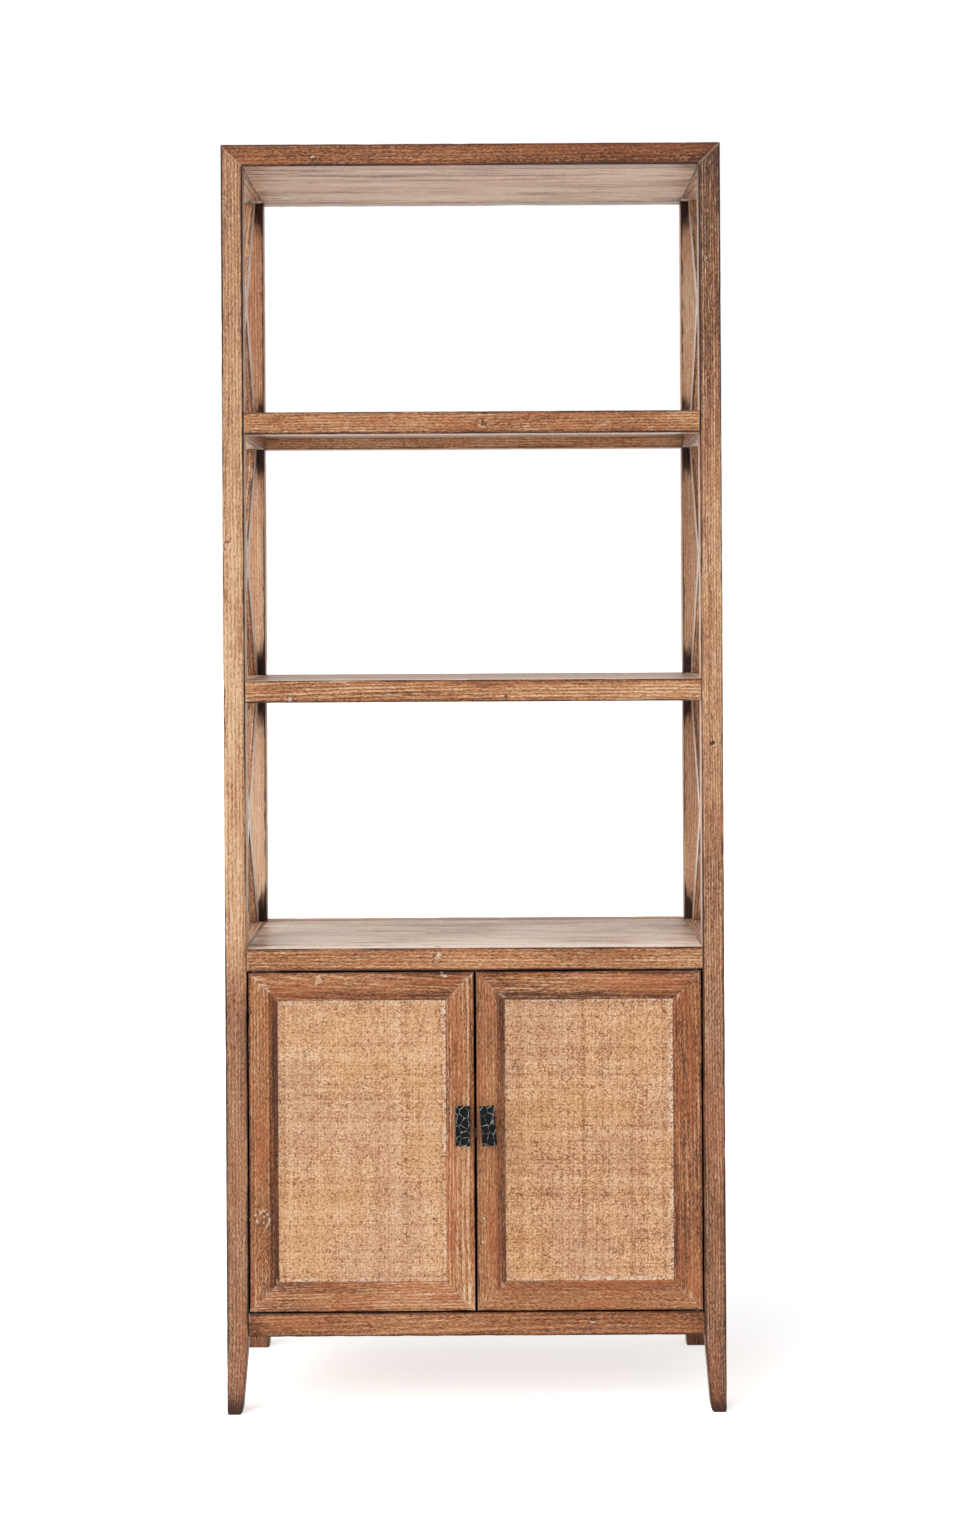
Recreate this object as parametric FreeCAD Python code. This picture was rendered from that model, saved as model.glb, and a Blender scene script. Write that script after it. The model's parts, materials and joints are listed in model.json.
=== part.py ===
"""Tall open bookcase with a two-door cabinet at its foot.

Four square posts carry rails at five levels. The three open bays are braced at each side by
crossed slats, and the cabinet below has two mitred doors with woven panels on pivot hinges.
Millimetres, +Z up, front towards -Y. The origin is on the floor, at the middle of the whole box.
"""
import FreeCAD
import Part
import os

# Overall sizes
width = 900.0
depth = 406.0
height = 2286.0
post_size = 40.0
foot_height = 139.0
front_foot_width = 28.0
base_rail_height = 43.0
door_opening_height = 615.0
shelf_rail_height = 41.0

# Mortise and tenon joints
tenon_length = 12.0
tenon_thickness = 12.0
tenon_shoulder = 5.0
tenon_clearance = 0.2
mortise_end_gap = 1.0

# Boards and panels
board_thickness = 20.0
ceiling_thickness = 12.0
tongue_thickness = 8.0
tongue_length = 8.0
tongue_clearance = 0.2
groove_end_gap = 1.0
side_panel_thickness = 14.0
side_panel_inset = 10.0
back_thickness = 8.0
back_inset = 12.0
board_width_shares = {
    "top": (0.0, 0.40, 0.74, 1.0),
    "ceiling": (0.0, 0.40, 0.74, 1.0),
    "upper_shelf": (0.0, 0.33, 0.69, 1.0),
    "lower_shelf": (0.0, 0.28, 0.62, 1.0),
    "cabinet_top": (0.0, 0.18, 0.71, 1.0),
    "cabinet_floor": (0.0, 1.0),
}

# Crossed slats in the sides of the open bays
brace_width = 28.0
brace_thickness = 18.0
brace_setback = 7.0

# Loose shelf inside the cabinet, on four pins
inner_shelf_thickness = 18.0
inner_shelf_clearance = 1.0
inner_shelf_height_share = 0.5
pin_radius = 2.5
pin_depth = 10.0
pin_hole_clearance = 0.1
pin_hole_end_gap = 1.0
pin_edge_distance = 8.0
rest_length = 10.0
rest_width = 8.0
rest_height = 4.0

# Doors
door_thickness = 22.0
door_setback = 1.0
door_side_gap = 2.0
door_meeting_gap = 3.0
door_end_gap = 2.0
door_frame_width = 52.0
door_flat_width = 38.0
door_quirk = 1.0
door_bevel_depth = 7.0
door_lip_depth = 8.5
door_rebate_width = 8.0
weave_thickness = 2.0
backing_thickness = 6.0
panel_clearance = 0.5

# Pivot hinges
pivot_inset = 10.0
pivot_setback = 6.0
pivot_radius = 3.0
pivot_clearance = 0.05
pivot_overlap = 3.0
collar_radius = 4.5
collar_gap = 0.2
leaf_length = 52.0
leaf_width = 9.0
leaf_thickness = 2.5
leaf_margin = 3.0
leaf_screw_shares = (0.44, 0.80)
pivot_relief = 0.5

# Wood screws
screw_length = 18.0
screw_radius = 1.75
screw_head_radius = 3.4
screw_head_height = 1.7
screw_tip_length = 4.0
screw_clearance = 0.1

# Magnetic catches and their strikes
catch_length = 30.0
catch_width = 13.0
catch_height = 8.0
catch_gap = 0.5
catch_distance = 30.0
catch_screw_spacing = 18.0
strike_radius = 4.0
strike_thickness = 1.5
strike_drop = 4.5
strike_shank_radius = 1.75
strike_shank_length = 12.0

# Hammered pulls
pull_width = 27.0
pull_height = 72.5
pull_thickness = 4.0
pull_bow = 5.0
pull_standoff = 16.0
pull_centre_height = 520.0
pull_edge_distance = 21.3
pull_lean_degrees = {"left": 0.0, "right": -4.0}
stud_radius = 6.0
rose_radius = 9.0
rose_thickness = 2.0
bolt_radius = 2.0
bolt_grip = 10.0
bolt_head_radius = 4.5
bolt_head_height = 2.5
bolt_clearance = 0.2

# Length by which a cutting solid runs past what it cuts
overrun = 5.0

# Planes that the pieces share
right = width / 2
left = -right
pull_reach = pull_standoff + pull_thickness - door_setback
front = -(depth - pull_reach) / 2
rear = front + depth
inner_left = left + post_size
inner_right = right - post_size
inner_front = front + post_size
inner_rear = rear - post_size
under_top = height - post_size
opening_low = foot_height + base_rail_height
opening_high = opening_low + door_opening_height
cabinet_top = opening_high + shelf_rail_height
bay_height = (under_top - cabinet_top - 2 * shelf_rail_height) / 3
lower_shelf_top = cabinet_top + bay_height + shelf_rail_height
upper_shelf_top = lower_shelf_top + bay_height + shelf_rail_height

level_spans = {
    "base": (foot_height, opening_low),
    "cabinet_top": (opening_high, cabinet_top),
    "lower_shelf": (lower_shelf_top - shelf_rail_height, lower_shelf_top),
    "upper_shelf": (upper_shelf_top - shelf_rail_height, upper_shelf_top),
}
bay_spans = {
    "lower_bay": (cabinet_top, level_spans["lower_shelf"][0]),
    "middle_bay": (lower_shelf_top, level_spans["upper_shelf"][0]),
    "upper_bay": (upper_shelf_top, under_top),
}

os.makedirs("parts", exist_ok=True)


def point(x, y, z):
    return FreeCAD.Vector(x, y, z)


def block(x0, x1, y0, y1, z0, z1):
    return Part.makeBox(x1 - x0, y1 - y0, z1 - z0, point(x0, y0, z0))


def prism(points, travel):
    outline = Part.makePolygon(points + points[:1])
    return Part.Face(outline).extrude(travel)


def rod(start, direction, radius, length):
    return Part.makeCylinder(radius, length, start, direction)


def to_right(shape):
    return shape.mirror(point(0, 0, 0), point(1, 0, 0))


def to_top(shape):
    middle = (opening_low + opening_high) / 2
    return shape.mirror(point(0, 0, middle), point(0, 0, 1))


def save(name, *solids):
    shape = solids[0] if len(solids) == 1 else Part.makeCompound(list(solids))
    shape.exportStep("parts/" + name + ".step")


# Tenons run from post to post, and the same bar with clearance cuts the mortises
def tenon_along_x(y0, span, side=0, end=0):
    middle = y0 + post_size / 2
    half = tenon_thickness / 2 + side
    return block(inner_left - tenon_length - end, inner_right + tenon_length + end,
                 middle - half, middle + half,
                 span[0] + tenon_shoulder - side, span[1] - tenon_shoulder + side)


def tenon_along_y(x0, span, side=0, end=0):
    middle = x0 + post_size / 2
    half = tenon_thickness / 2 + side
    return block(middle - half, middle + half,
                 inner_front - tenon_length - end, inner_rear + tenon_length + end,
                 span[0] + tenon_shoulder - side, span[1] - tenon_shoulder + side)


# A board field lies between the rails, with a tongue along each of its four edges
def field_tongue(z_top, thickness, side=0, end=0):
    middle = z_top - thickness / 2
    half = tongue_thickness / 2 + side
    reach = tongue_length + end
    across = block(inner_left - reach, inner_right + reach, inner_front, inner_rear,
                   middle - half, middle + half)
    along = block(inner_left, inner_right, inner_front - reach, inner_rear + reach,
                  middle - half, middle + half)
    return across.fuse(along)


def field_groove(z_top, thickness):
    return field_tongue(z_top, thickness, tongue_clearance, groove_end_gap)


def boards(z_top, thickness, shares):
    body = block(inner_left, inner_right, inner_front, inner_rear, z_top - thickness, z_top)
    whole = body.fuse(field_tongue(z_top, thickness))
    reach = tongue_length + overrun
    edges = [inner_front + share * (inner_rear - inner_front) for share in shares]
    edges[0] = edges[0] - reach
    edges[-1] = edges[-1] + reach
    planks = []
    for y0, y1 in zip(edges, edges[1:]):
        plank = whole.common(block(left, right, y0, y1, z_top - thickness, z_top))
        planks.append(plank.removeSplitter().Solids[0])
    return planks


# Cabinet panels stand in grooves, with notched corners that clear the joints
def side_panel(side=0, end=0):
    x0 = left + side_panel_inset - side
    x1 = left + side_panel_inset + side_panel_thickness + side
    reach = tongue_length + end
    wide = block(x0, x1, inner_front - reach, inner_rear + reach, opening_low, opening_high)
    tall = block(x0, x1, inner_front, inner_rear, opening_low - reach, opening_high + reach)
    return wide.fuse(tall).removeSplitter()


def back_panel(side=0, end=0):
    y1 = rear - back_inset + side
    y0 = rear - back_inset - back_thickness - side
    reach = tongue_length + end
    wide = block(inner_left - reach, inner_right + reach, y0, y1, opening_low, opening_high)
    tall = block(inner_left, inner_right, y0, y1, opening_low - reach, opening_high + reach)
    return wide.fuse(tall).removeSplitter()


side_groove = side_panel(tongue_clearance, groove_end_gap)
back_groove = back_panel(tongue_clearance, groove_end_gap)
save("cabinet_side_panels", side_panel(), to_right(side_panel()))
save("cabinet_back", back_panel())

# Loose shelf and its pins
inner_shelf_bottom = opening_low + inner_shelf_height_share * door_opening_height
inner_shelf_front = front + door_setback + door_thickness + inner_shelf_clearance + bolt_head_height
pin_places_y = (inner_front - pin_edge_distance, inner_rear + pin_edge_distance)


def pin_hole(y):
    z = inner_shelf_bottom - rest_height / 2
    start = point(inner_left - pin_depth - pin_hole_end_gap, y, z)
    return rod(start, point(1, 0, 0), pin_radius + pin_hole_clearance, pin_depth + pin_hole_end_gap)


def shelf_pin(y):
    z = inner_shelf_bottom - rest_height / 2
    shank = rod(point(inner_left - pin_depth, y, z), point(1, 0, 0), pin_radius, pin_depth)
    rest = block(inner_left, inner_left + rest_length, y - rest_width / 2, y + rest_width / 2,
                 inner_shelf_bottom - rest_height, inner_shelf_bottom)
    return shank.fuse(rest)


pins = [shelf_pin(y) for y in pin_places_y]
save("shelf_pins", *pins, *[to_right(pin) for pin in pins])
save("inner_shelf", block(inner_left + inner_shelf_clearance, inner_right - inner_shelf_clearance,
                          inner_shelf_front, rear - back_inset - back_thickness - inner_shelf_clearance,
                          inner_shelf_bottom, inner_shelf_bottom + inner_shelf_thickness))


# Posts end at the top in a three-way mitre with the top rails
def left_post(y_outer, y_inward, foot_width):
    across = [point(left, y_outer, 0), point(left + foot_width, y_outer, 0),
              point(inner_left, y_outer, foot_height), point(inner_left, y_outer, under_top),
              point(left, y_outer, height)]
    along = [point(left, y_outer, 0), point(left, y_outer + y_inward * post_size, 0),
             point(left, y_outer + y_inward * post_size, under_top), point(left, y_outer, height)]
    seen_from_front = prism(across, point(0, y_inward * post_size, 0))
    seen_from_side = prism(along, point(post_size, 0, 0))
    return seen_from_front.common(seen_from_side)


mortises = [side_groove, back_groove]
for span in level_spans.values():
    mortises.append(tenon_along_x(front, span, tenon_clearance, mortise_end_gap))
    mortises.append(tenon_along_x(rear - post_size, span, tenon_clearance, mortise_end_gap))
    mortises.append(tenon_along_y(left, span, tenon_clearance, mortise_end_gap))
for y in pin_places_y:
    mortises.append(pin_hole(y))

front_post = left_post(front, 1, front_foot_width).cut(mortises)
rear_post = left_post(rear, -1, post_size).cut(mortises)
save("left_front_post", front_post)
save("right_front_post", to_right(front_post))
save("left_rear_post", rear_post)
save("right_rear_post", to_right(rear_post))


# Hinge leaves, pins and screws, made for the foot of the left door and mirrored to the rest
pivot_x = inner_left + door_side_gap + pivot_inset
pivot_y = front + door_setback + pivot_setback
leaf_x0 = inner_left + door_side_gap + leaf_margin
door_low = opening_low + door_end_gap
door_high = opening_high - door_end_gap
pin_top = door_low + leaf_thickness + pivot_overlap


def screw(head, direction, grow=0):
    neck = head + direction * screw_head_height
    end = head + direction * (screw_length - screw_tip_length)
    shape = Part.makeCone(screw_head_radius + grow, screw_radius + grow, screw_head_height, head, direction)
    shape = shape.fuse(rod(neck, direction, screw_radius + grow, (end - neck).Length))
    return shape.fuse(Part.makeCone(screw_radius + grow, grow, screw_tip_length, end, direction))


def leaf(z0):
    return block(leaf_x0, leaf_x0 + leaf_length, pivot_y - leaf_width / 2, pivot_y + leaf_width / 2,
                 z0, z0 + leaf_thickness)


up = point(0, 0, 1)
down = point(0, 0, -1)
leaf_screw_xs = [leaf_x0 + share * leaf_length for share in leaf_screw_shares]
frame_screws = [screw(point(x, pivot_y, opening_low), down) for x in leaf_screw_xs]
frame_screw_holes = [screw(point(x, pivot_y, opening_low), down, screw_clearance) for x in leaf_screw_xs]
door_screws = [screw(point(x, pivot_y, door_low), up) for x in leaf_screw_xs]
door_screw_holes = [screw(point(x, pivot_y, door_low), up, screw_clearance) for x in leaf_screw_xs]

frame_leaf_seat = leaf(opening_low - leaf_thickness)
collar = rod(point(pivot_x, pivot_y, opening_low), up, collar_radius, door_end_gap - collar_gap)
pivot_pin = rod(point(pivot_x, pivot_y, opening_low), up, pivot_radius, pin_top - opening_low)
frame_leaf = frame_leaf_seat.fuse([collar, pivot_pin]).cut(frame_screw_holes)
door_leaf_seat = leaf(door_low)
pivot_hole = rod(point(pivot_x, pivot_y, door_low), up, pivot_radius + pivot_clearance, leaf_thickness)
door_leaf = door_leaf_seat.cut([pivot_hole] + door_screw_holes)
pivot_bore = rod(point(pivot_x, pivot_y, door_low), up, pivot_radius + pivot_relief,
                 pin_top + pivot_relief - door_low)

left_frame_leaves = [frame_leaf, to_top(frame_leaf)]
save("frame_pivots", *left_frame_leaves, *[to_right(item) for item in left_frame_leaves])

# Magnetic catches under the rail above the doors
door_back = front + door_setback + door_thickness
catch_front = door_back + strike_thickness + catch_gap
catch_middle_y = catch_front + catch_width / 2
catch_screw_xs = [-catch_distance - catch_screw_spacing / 2, -catch_distance + catch_screw_spacing / 2]
catch_screws = [screw(point(x, catch_middle_y, opening_high - catch_height), up) for x in catch_screw_xs]
catch_screw_holes = [screw(point(x, catch_middle_y, opening_high - catch_height), up, screw_clearance)
                     for x in catch_screw_xs]
catch = block(-catch_distance - catch_length / 2, -catch_distance + catch_length / 2,
              catch_front, catch_front + catch_width, opening_high - catch_height, opening_high)
catch = catch.cut(catch_screw_holes)
save("door_catches", catch, to_right(catch))

left_frame_screws = frame_screws + [to_top(item) for item in frame_screws] + catch_screws
save("frame_screws", *left_frame_screws, *[to_right(item) for item in left_frame_screws])

hinge_cuts = [frame_leaf_seat] + frame_screw_holes
hinge_cuts = hinge_cuts + [to_top(item) for item in hinge_cuts] + catch_screw_holes
hinge_cuts = hinge_cuts + [to_right(item) for item in hinge_cuts]

# Rails and boards of the four lower levels
for name, span in level_spans.items():
    cuts = [field_groove(span[1], board_thickness), side_groove, to_right(side_groove), back_groove]
    front_rail = block(inner_left, inner_right, front, inner_front, span[0], span[1])
    front_rail = front_rail.fuse(tenon_along_x(front, span)).cut(cuts + hinge_cuts)
    rear_rail = block(inner_left, inner_right, inner_rear, rear, span[0], span[1])
    rear_rail = rear_rail.fuse(tenon_along_x(rear - post_size, span)).cut(cuts)
    side_rail = block(left, inner_left, inner_front, inner_rear, span[0], span[1])
    side_rail = side_rail.fuse(tenon_along_y(left, span)).cut(cuts)
    save(name + "_front_rail", front_rail)
    save(name + "_rear_rail", rear_rail)
    save(name + "_side_rails", side_rail, to_right(side_rail))
    if name in board_width_shares:
        save(name + "_boards", *boards(span[1], board_thickness, board_width_shares[name]))

save("cabinet_floor", *boards(opening_low, board_thickness, board_width_shares["cabinet_floor"]))

# Mitred rails of the top, with boards let in above and below
rail_plan = [point(left, front, under_top), point(right, front, under_top),
             point(inner_right, inner_front, under_top), point(inner_left, inner_front, under_top)]
rail_elevation = [point(left, front, height), point(right, front, height),
                  point(inner_right, front, under_top), point(inner_left, front, under_top)]
top_front_rail = prism(rail_plan, point(0, 0, post_size)).common(
    prism(rail_elevation, point(0, post_size, 0)))
centre_y = (front + rear) / 2
top_rear_rail = top_front_rail.mirror(point(0, centre_y, 0), point(0, 1, 0))

side_plan = [point(left, front, under_top), point(inner_left, inner_front, under_top),
             point(inner_left, inner_rear, under_top), point(left, rear, under_top)]
side_elevation = [point(left, front, height), point(left, rear, height),
                  point(left, inner_rear, under_top), point(left, inner_front, under_top)]
top_side_rail = prism(side_plan, point(0, 0, post_size)).common(
    prism(side_elevation, point(post_size, 0, 0)))

ceiling_top = under_top + ceiling_thickness
top_grooves = [field_groove(height, board_thickness), field_groove(ceiling_top, ceiling_thickness)]
top_side_rail = top_side_rail.cut(top_grooves)
save("top_front_rail", top_front_rail.cut(top_grooves))
save("top_rear_rail", top_rear_rail.cut(top_grooves))
save("top_side_rails", top_side_rail, to_right(top_side_rail))
save("top_boards", *boards(height, board_thickness, board_width_shares["top"]))
save("ceiling_boards", *boards(ceiling_top, ceiling_thickness, board_width_shares["ceiling"]))


# Crossed slats, halved over each other, one pair in each side of each open bay
def slat(start, end, x0):
    along = (end - start).normalize()
    across = point(1, 0, 0).cross(along) * (brace_width / 2)
    run = along * (overrun + brace_width)
    strip = [start - run - across, end + run - across, end + run + across, start - run + across]
    low = min(start.z, end.z)
    high = max(start.z, end.z)
    opening = block(x0, x0 + brace_thickness, inner_front, inner_rear, low, high)
    return prism(strip, point(brace_thickness, 0, 0)).common(opening)


brace_x = left + brace_setback
for bay, (low, high) in bay_spans.items():
    rising = slat(point(brace_x, inner_front, low), point(brace_x, inner_rear, high), brace_x)
    falling = slat(point(brace_x, inner_front, high), point(brace_x, inner_rear, low), brace_x)
    crossing = rising.common(falling)
    lap_x = brace_x + brace_thickness / 2
    inner_half = block(lap_x, inner_left, inner_front, inner_rear, low, high)
    rising_brace = rising.cut(crossing.common(inner_half))
    falling_brace = falling.cut(crossing.cut(inner_half))
    save("left_" + bay + "_rising_brace", rising_brace)
    save("left_" + bay + "_falling_brace", falling_brace)
    save("right_" + bay + "_rising_brace", to_right(rising_brace))
    save("right_" + bay + "_falling_brace", to_right(falling_brace))

# Door frame: four mitred members with a bevel round the panel and a rebate behind it
door_front = front + door_setback
door_x0 = inner_left + door_side_gap
door_x1 = -door_meeting_gap / 2
profile = [(0, 0), (door_flat_width, 0), (door_flat_width, door_quirk),
           (door_frame_width, door_bevel_depth), (door_frame_width, door_lip_depth),
           (door_frame_width - door_rebate_width, door_lip_depth),
           (door_frame_width - door_rebate_width, door_thickness), (0, door_thickness)]
outer_corners = [point(door_x0, door_front, door_low), point(door_x1, door_front, door_low),
                 point(door_x1, door_front, door_high), point(door_x0, door_front, door_high)]
inward_steps = [point(1, 0, 1), point(-1, 0, 1), point(-1, 0, -1), point(1, 0, -1)]
inner_corners = [corner + step * door_frame_width for corner, step in zip(outer_corners, inward_steps)]
inward_sides = [point(0, 0, 1), point(-1, 0, 0), point(0, 0, -1), point(1, 0, 0)]


def door_member(index):
    start = outer_corners[index]
    end = outer_corners[(index + 1) % len(outer_corners)]
    mitred = [start, end, inner_corners[(index + 1) % len(outer_corners)], inner_corners[index]]
    section = [start + inward_sides[index] * inward + point(0, back, 0) for inward, back in profile]
    return prism(section, end - start).common(prism(mitred, point(0, door_thickness, 0)))


# Pull: a bowed plate on a round stud, bolted through the meeting stile
pull_x = door_x1 - pull_edge_distance
pull_back = door_front - pull_standoff
pull_face = pull_back - pull_thickness


def pull_plate(x, lean):
    low = pull_centre_height - pull_height / 2
    high = pull_centre_height + pull_height / 2
    x0 = x - pull_width / 2
    face = Part.Arc(point(x0, pull_face + pull_bow, low), point(x0, pull_face, pull_centre_height),
                    point(x0, pull_face + pull_bow, high))
    back = Part.Arc(point(x0, pull_back + pull_bow, high), point(x0, pull_back, pull_centre_height),
                    point(x0, pull_back + pull_bow, low))
    upper_end = Part.LineSegment(face.EndPoint, back.StartPoint)
    lower_end = Part.LineSegment(back.EndPoint, face.StartPoint)
    outline = Part.Wire([face.toShape(), upper_end.toShape(), back.toShape(), lower_end.toShape()])
    plate = Part.Face(outline).extrude(point(pull_width, 0, 0))
    plate.rotate(point(x, pull_face, pull_centre_height), point(0, 1, 0), lean)
    return plate


forward = point(0, -1, 0)
bolt_head_start = point(pull_x, door_back + bolt_head_height, pull_centre_height)
bolt = rod(bolt_head_start, forward, bolt_head_radius, bolt_head_height)
bolt = bolt.fuse(rod(bolt_head_start, forward, bolt_radius,
                     bolt_head_height + door_thickness + bolt_grip))
bolt_hole = rod(point(pull_x, door_back, pull_centre_height), forward, bolt_radius + bolt_clearance,
                door_thickness)
stud_base = point(pull_x, door_front, pull_centre_height)
stud_blank = rod(stud_base, forward, rose_radius, rose_thickness)
stud_blank = stud_blank.fuse(rod(stud_base, forward, stud_radius, pull_standoff + pull_thickness / 2))
stud_blank = stud_blank.cut(bolt)

# Strike for the catch, screwed into the back of the top member
strike_z = door_high - strike_drop
strike_start = point(-catch_distance, door_back + strike_thickness, strike_z)
strike = rod(strike_start, forward, strike_radius, strike_thickness)
strike = strike.fuse(rod(strike_start, forward, strike_shank_radius,
                         strike_thickness + strike_shank_length))
strike_hole = rod(point(-catch_distance, door_back, strike_z), forward,
                  strike_shank_radius + screw_clearance, strike_shank_length + screw_clearance)

door_cuts = [door_leaf_seat, pivot_bore] + door_screw_holes
door_cuts = door_cuts + [to_top(item) for item in door_cuts] + [bolt_hole, strike_hole]
members = [door_member(index).cut(door_cuts) for index in range(len(outer_corners))]
rails = members[0::2]
stiles = members[1::2]

panel_edge = door_frame_width - door_rebate_width + panel_clearance
panel_x0 = door_x0 + panel_edge
panel_x1 = door_x1 - panel_edge
panel_z0 = door_low + panel_edge
panel_z1 = door_high - panel_edge
weave_front = door_front + door_lip_depth
weave_back = weave_front + weave_thickness
woven_panel = block(panel_x0, panel_x1, weave_front, weave_back, panel_z0, panel_z1)
backing = block(panel_x0, panel_x1, weave_back, weave_back + backing_thickness, panel_z0, panel_z1)
door_leaves = [door_leaf, to_top(door_leaf)]
loose_screws = door_screws + [to_top(item) for item in door_screws] + [strike]

for side, place in (("left", lambda shape: shape), ("right", to_right)):
    x = pull_x if side == "left" else -pull_x
    plate = pull_plate(x, pull_lean_degrees[side])
    save(side + "_door_stiles", *[place(item) for item in stiles])
    save(side + "_door_rails", *[place(item) for item in rails])
    save(side + "_woven_panel", place(woven_panel))
    save(side + "_panel_backing", place(backing))
    save(side + "_door_pivots", *[place(item) for item in door_leaves])
    save(side + "_door_screws", *[place(item) for item in loose_screws])
    save(side + "_pull", plate)
    save(side + "_pull_fixing", place(stud_blank).cut(plate), place(bolt))
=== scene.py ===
import json
import math
import random

import bmesh
import bpy
import numpy
from mathutils import Matrix, Vector, noise

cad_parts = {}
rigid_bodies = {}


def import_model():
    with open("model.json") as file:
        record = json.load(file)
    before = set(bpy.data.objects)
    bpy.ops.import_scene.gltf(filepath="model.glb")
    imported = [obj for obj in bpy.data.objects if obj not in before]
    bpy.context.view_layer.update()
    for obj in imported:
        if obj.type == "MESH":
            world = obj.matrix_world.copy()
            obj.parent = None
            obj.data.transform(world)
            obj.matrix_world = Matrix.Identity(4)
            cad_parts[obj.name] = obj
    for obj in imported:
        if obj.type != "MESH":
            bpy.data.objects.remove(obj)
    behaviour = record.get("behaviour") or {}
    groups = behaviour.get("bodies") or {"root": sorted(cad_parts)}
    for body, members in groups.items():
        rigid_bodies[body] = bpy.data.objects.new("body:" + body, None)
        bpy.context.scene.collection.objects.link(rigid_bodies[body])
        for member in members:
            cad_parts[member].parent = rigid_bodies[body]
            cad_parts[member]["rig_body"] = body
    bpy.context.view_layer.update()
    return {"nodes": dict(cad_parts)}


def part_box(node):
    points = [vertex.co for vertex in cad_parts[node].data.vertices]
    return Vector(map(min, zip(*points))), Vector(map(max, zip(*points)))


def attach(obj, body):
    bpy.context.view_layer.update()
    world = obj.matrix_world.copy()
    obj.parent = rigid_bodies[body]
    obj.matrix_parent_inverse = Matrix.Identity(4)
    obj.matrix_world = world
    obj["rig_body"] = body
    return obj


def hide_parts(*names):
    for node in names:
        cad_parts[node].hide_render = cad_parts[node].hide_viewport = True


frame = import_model()

# Posts
# Four square sticks of reclaimed pine, brushed so that the hard grain stands proud, stained, and
# filled with cream paste. They taper at the front feet and end in a three-way mitre at the top.
post_low, post_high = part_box("left_front_post")
rear_post_low, rear_post_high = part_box("left_rear_post")
left, front, floor = post_low
inner_left, inner_front, height = post_high
rear = rear_post_high.y
inner_rear = rear_post_low.y
right = -left
inner_right = -inner_left
post_size = inner_left - left
foot_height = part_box("base_front_rail")[0].z
foot_corners = [v.co for v in frame["nodes"]["left_front_post"].data.vertices if v.co.z < 1e-5]
foot_width = max(corner.x for corner in foot_corners) - left
opening_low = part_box("base_front_rail")[1].z
opening_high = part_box("cabinet_top_front_rail")[0].z

stick_rounding = 0.0026
seam_width = 0.0009
seam_depth = 0.0002
station_spacing = 0.018
corner_shares = (0.0, 0.33, 0.67, 1.0)
edge_steps = (0.0045, 0.010, 0.022)
middle_margin = 0.002
same_place = 1e-6
far_away = 1.0
planed_off = 0.0001
brushed_off = 0.0003
edge_reach = 0.007
edge_wear = 0.0007
dent_depth = 0.0035


def section_points(corners, rounding):
    """Points round a stick's section, closer together by its edges: (place, outward, rim)."""
    points = []
    for index, corner in enumerate(corners):
        following = corners[(index + 1) % len(corners)]
        before = (corner - corners[index - 1]).normalized()
        after = (following - corner).normalized()
        radius = rounding[index] if isinstance(rounding, tuple) else rounding
        for share in corner_shares:
            start = (corner - before * radius).lerp(corner, share)
            place = start.lerp(corner.lerp(corner + after * radius, share), share)
            outward = Vector((before.y, -before.x)).lerp(Vector((after.y, -after.x)), share)
            points.append((place, outward.normalized(), abs(share - 0.5) * radius))
        run = (following - corner).length
        steps = [step for step in edge_steps if radius < step < run / 2 - middle_margin]
        for step in steps + [run / 2] + [run - step for step in reversed(steps)]:
            if 2 * radius < run:
                points.append((corner + after * step, Vector((after.y, -after.x)), min(step, run - step)))
    return points


def worn_back(place, rim):
    """How far brushing and use have taken a point of the wood back from its sawn face."""
    gentle = 0.5 + 0.5 * noise.noise(place * 11)
    edge = max(0.0, 1 - rim / edge_reach)
    handling = 0.5 + 0.5 * noise.noise(place * 31 + Vector((5, 3, 1)))
    dent = max(0.0, noise.noise(place * 75 + Vector((2, 8, 4))) - 0.2)
    return planed_off + brushed_off * gentle + edge * (edge_wear * handling + dent_depth * dent)


# A flat-sawn stick lies beside the heart, so its rings show as arches. Others show fine lines
heart_degrees = {False: (35, 55), True: (2, 12)}
heart_distance = {False: (0.11, 0.14), True: (0.05, 0.07)}
grain_slope = 0.010
arch_slope = 0.06
log_length = 40


def sawn_from(seed, flat=False):
    """Where in its log a stick was sawn: how far along, the heart beside it, and its slope."""
    chance = random.Random(seed)
    turn = math.radians(chance.uniform(*heart_degrees[flat])) * chance.choice((-1, 1))
    away = chance.uniform(*heart_distance[flat])
    slope = Vector((chance.uniform(-grain_slope, grain_slope), chance.uniform(-grain_slope, grain_slope)))
    if flat:
        slope.y = arch_slope * chance.choice((-1, 1))
    return chance.uniform(0, log_length), Vector((math.sin(turn), math.cos(turn))) * away, slope


def untouched(lies, place):
    return 0.0, 0.0


def level_at(lies, pairs):
    """A level between those of the pairs, each of which is a place along the stick and its level."""
    return float(numpy.interp(lies, *zip(*pairs)))


wood_marks = ("grain", "rim", "butt", "tone", "coat", "lively")


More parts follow.
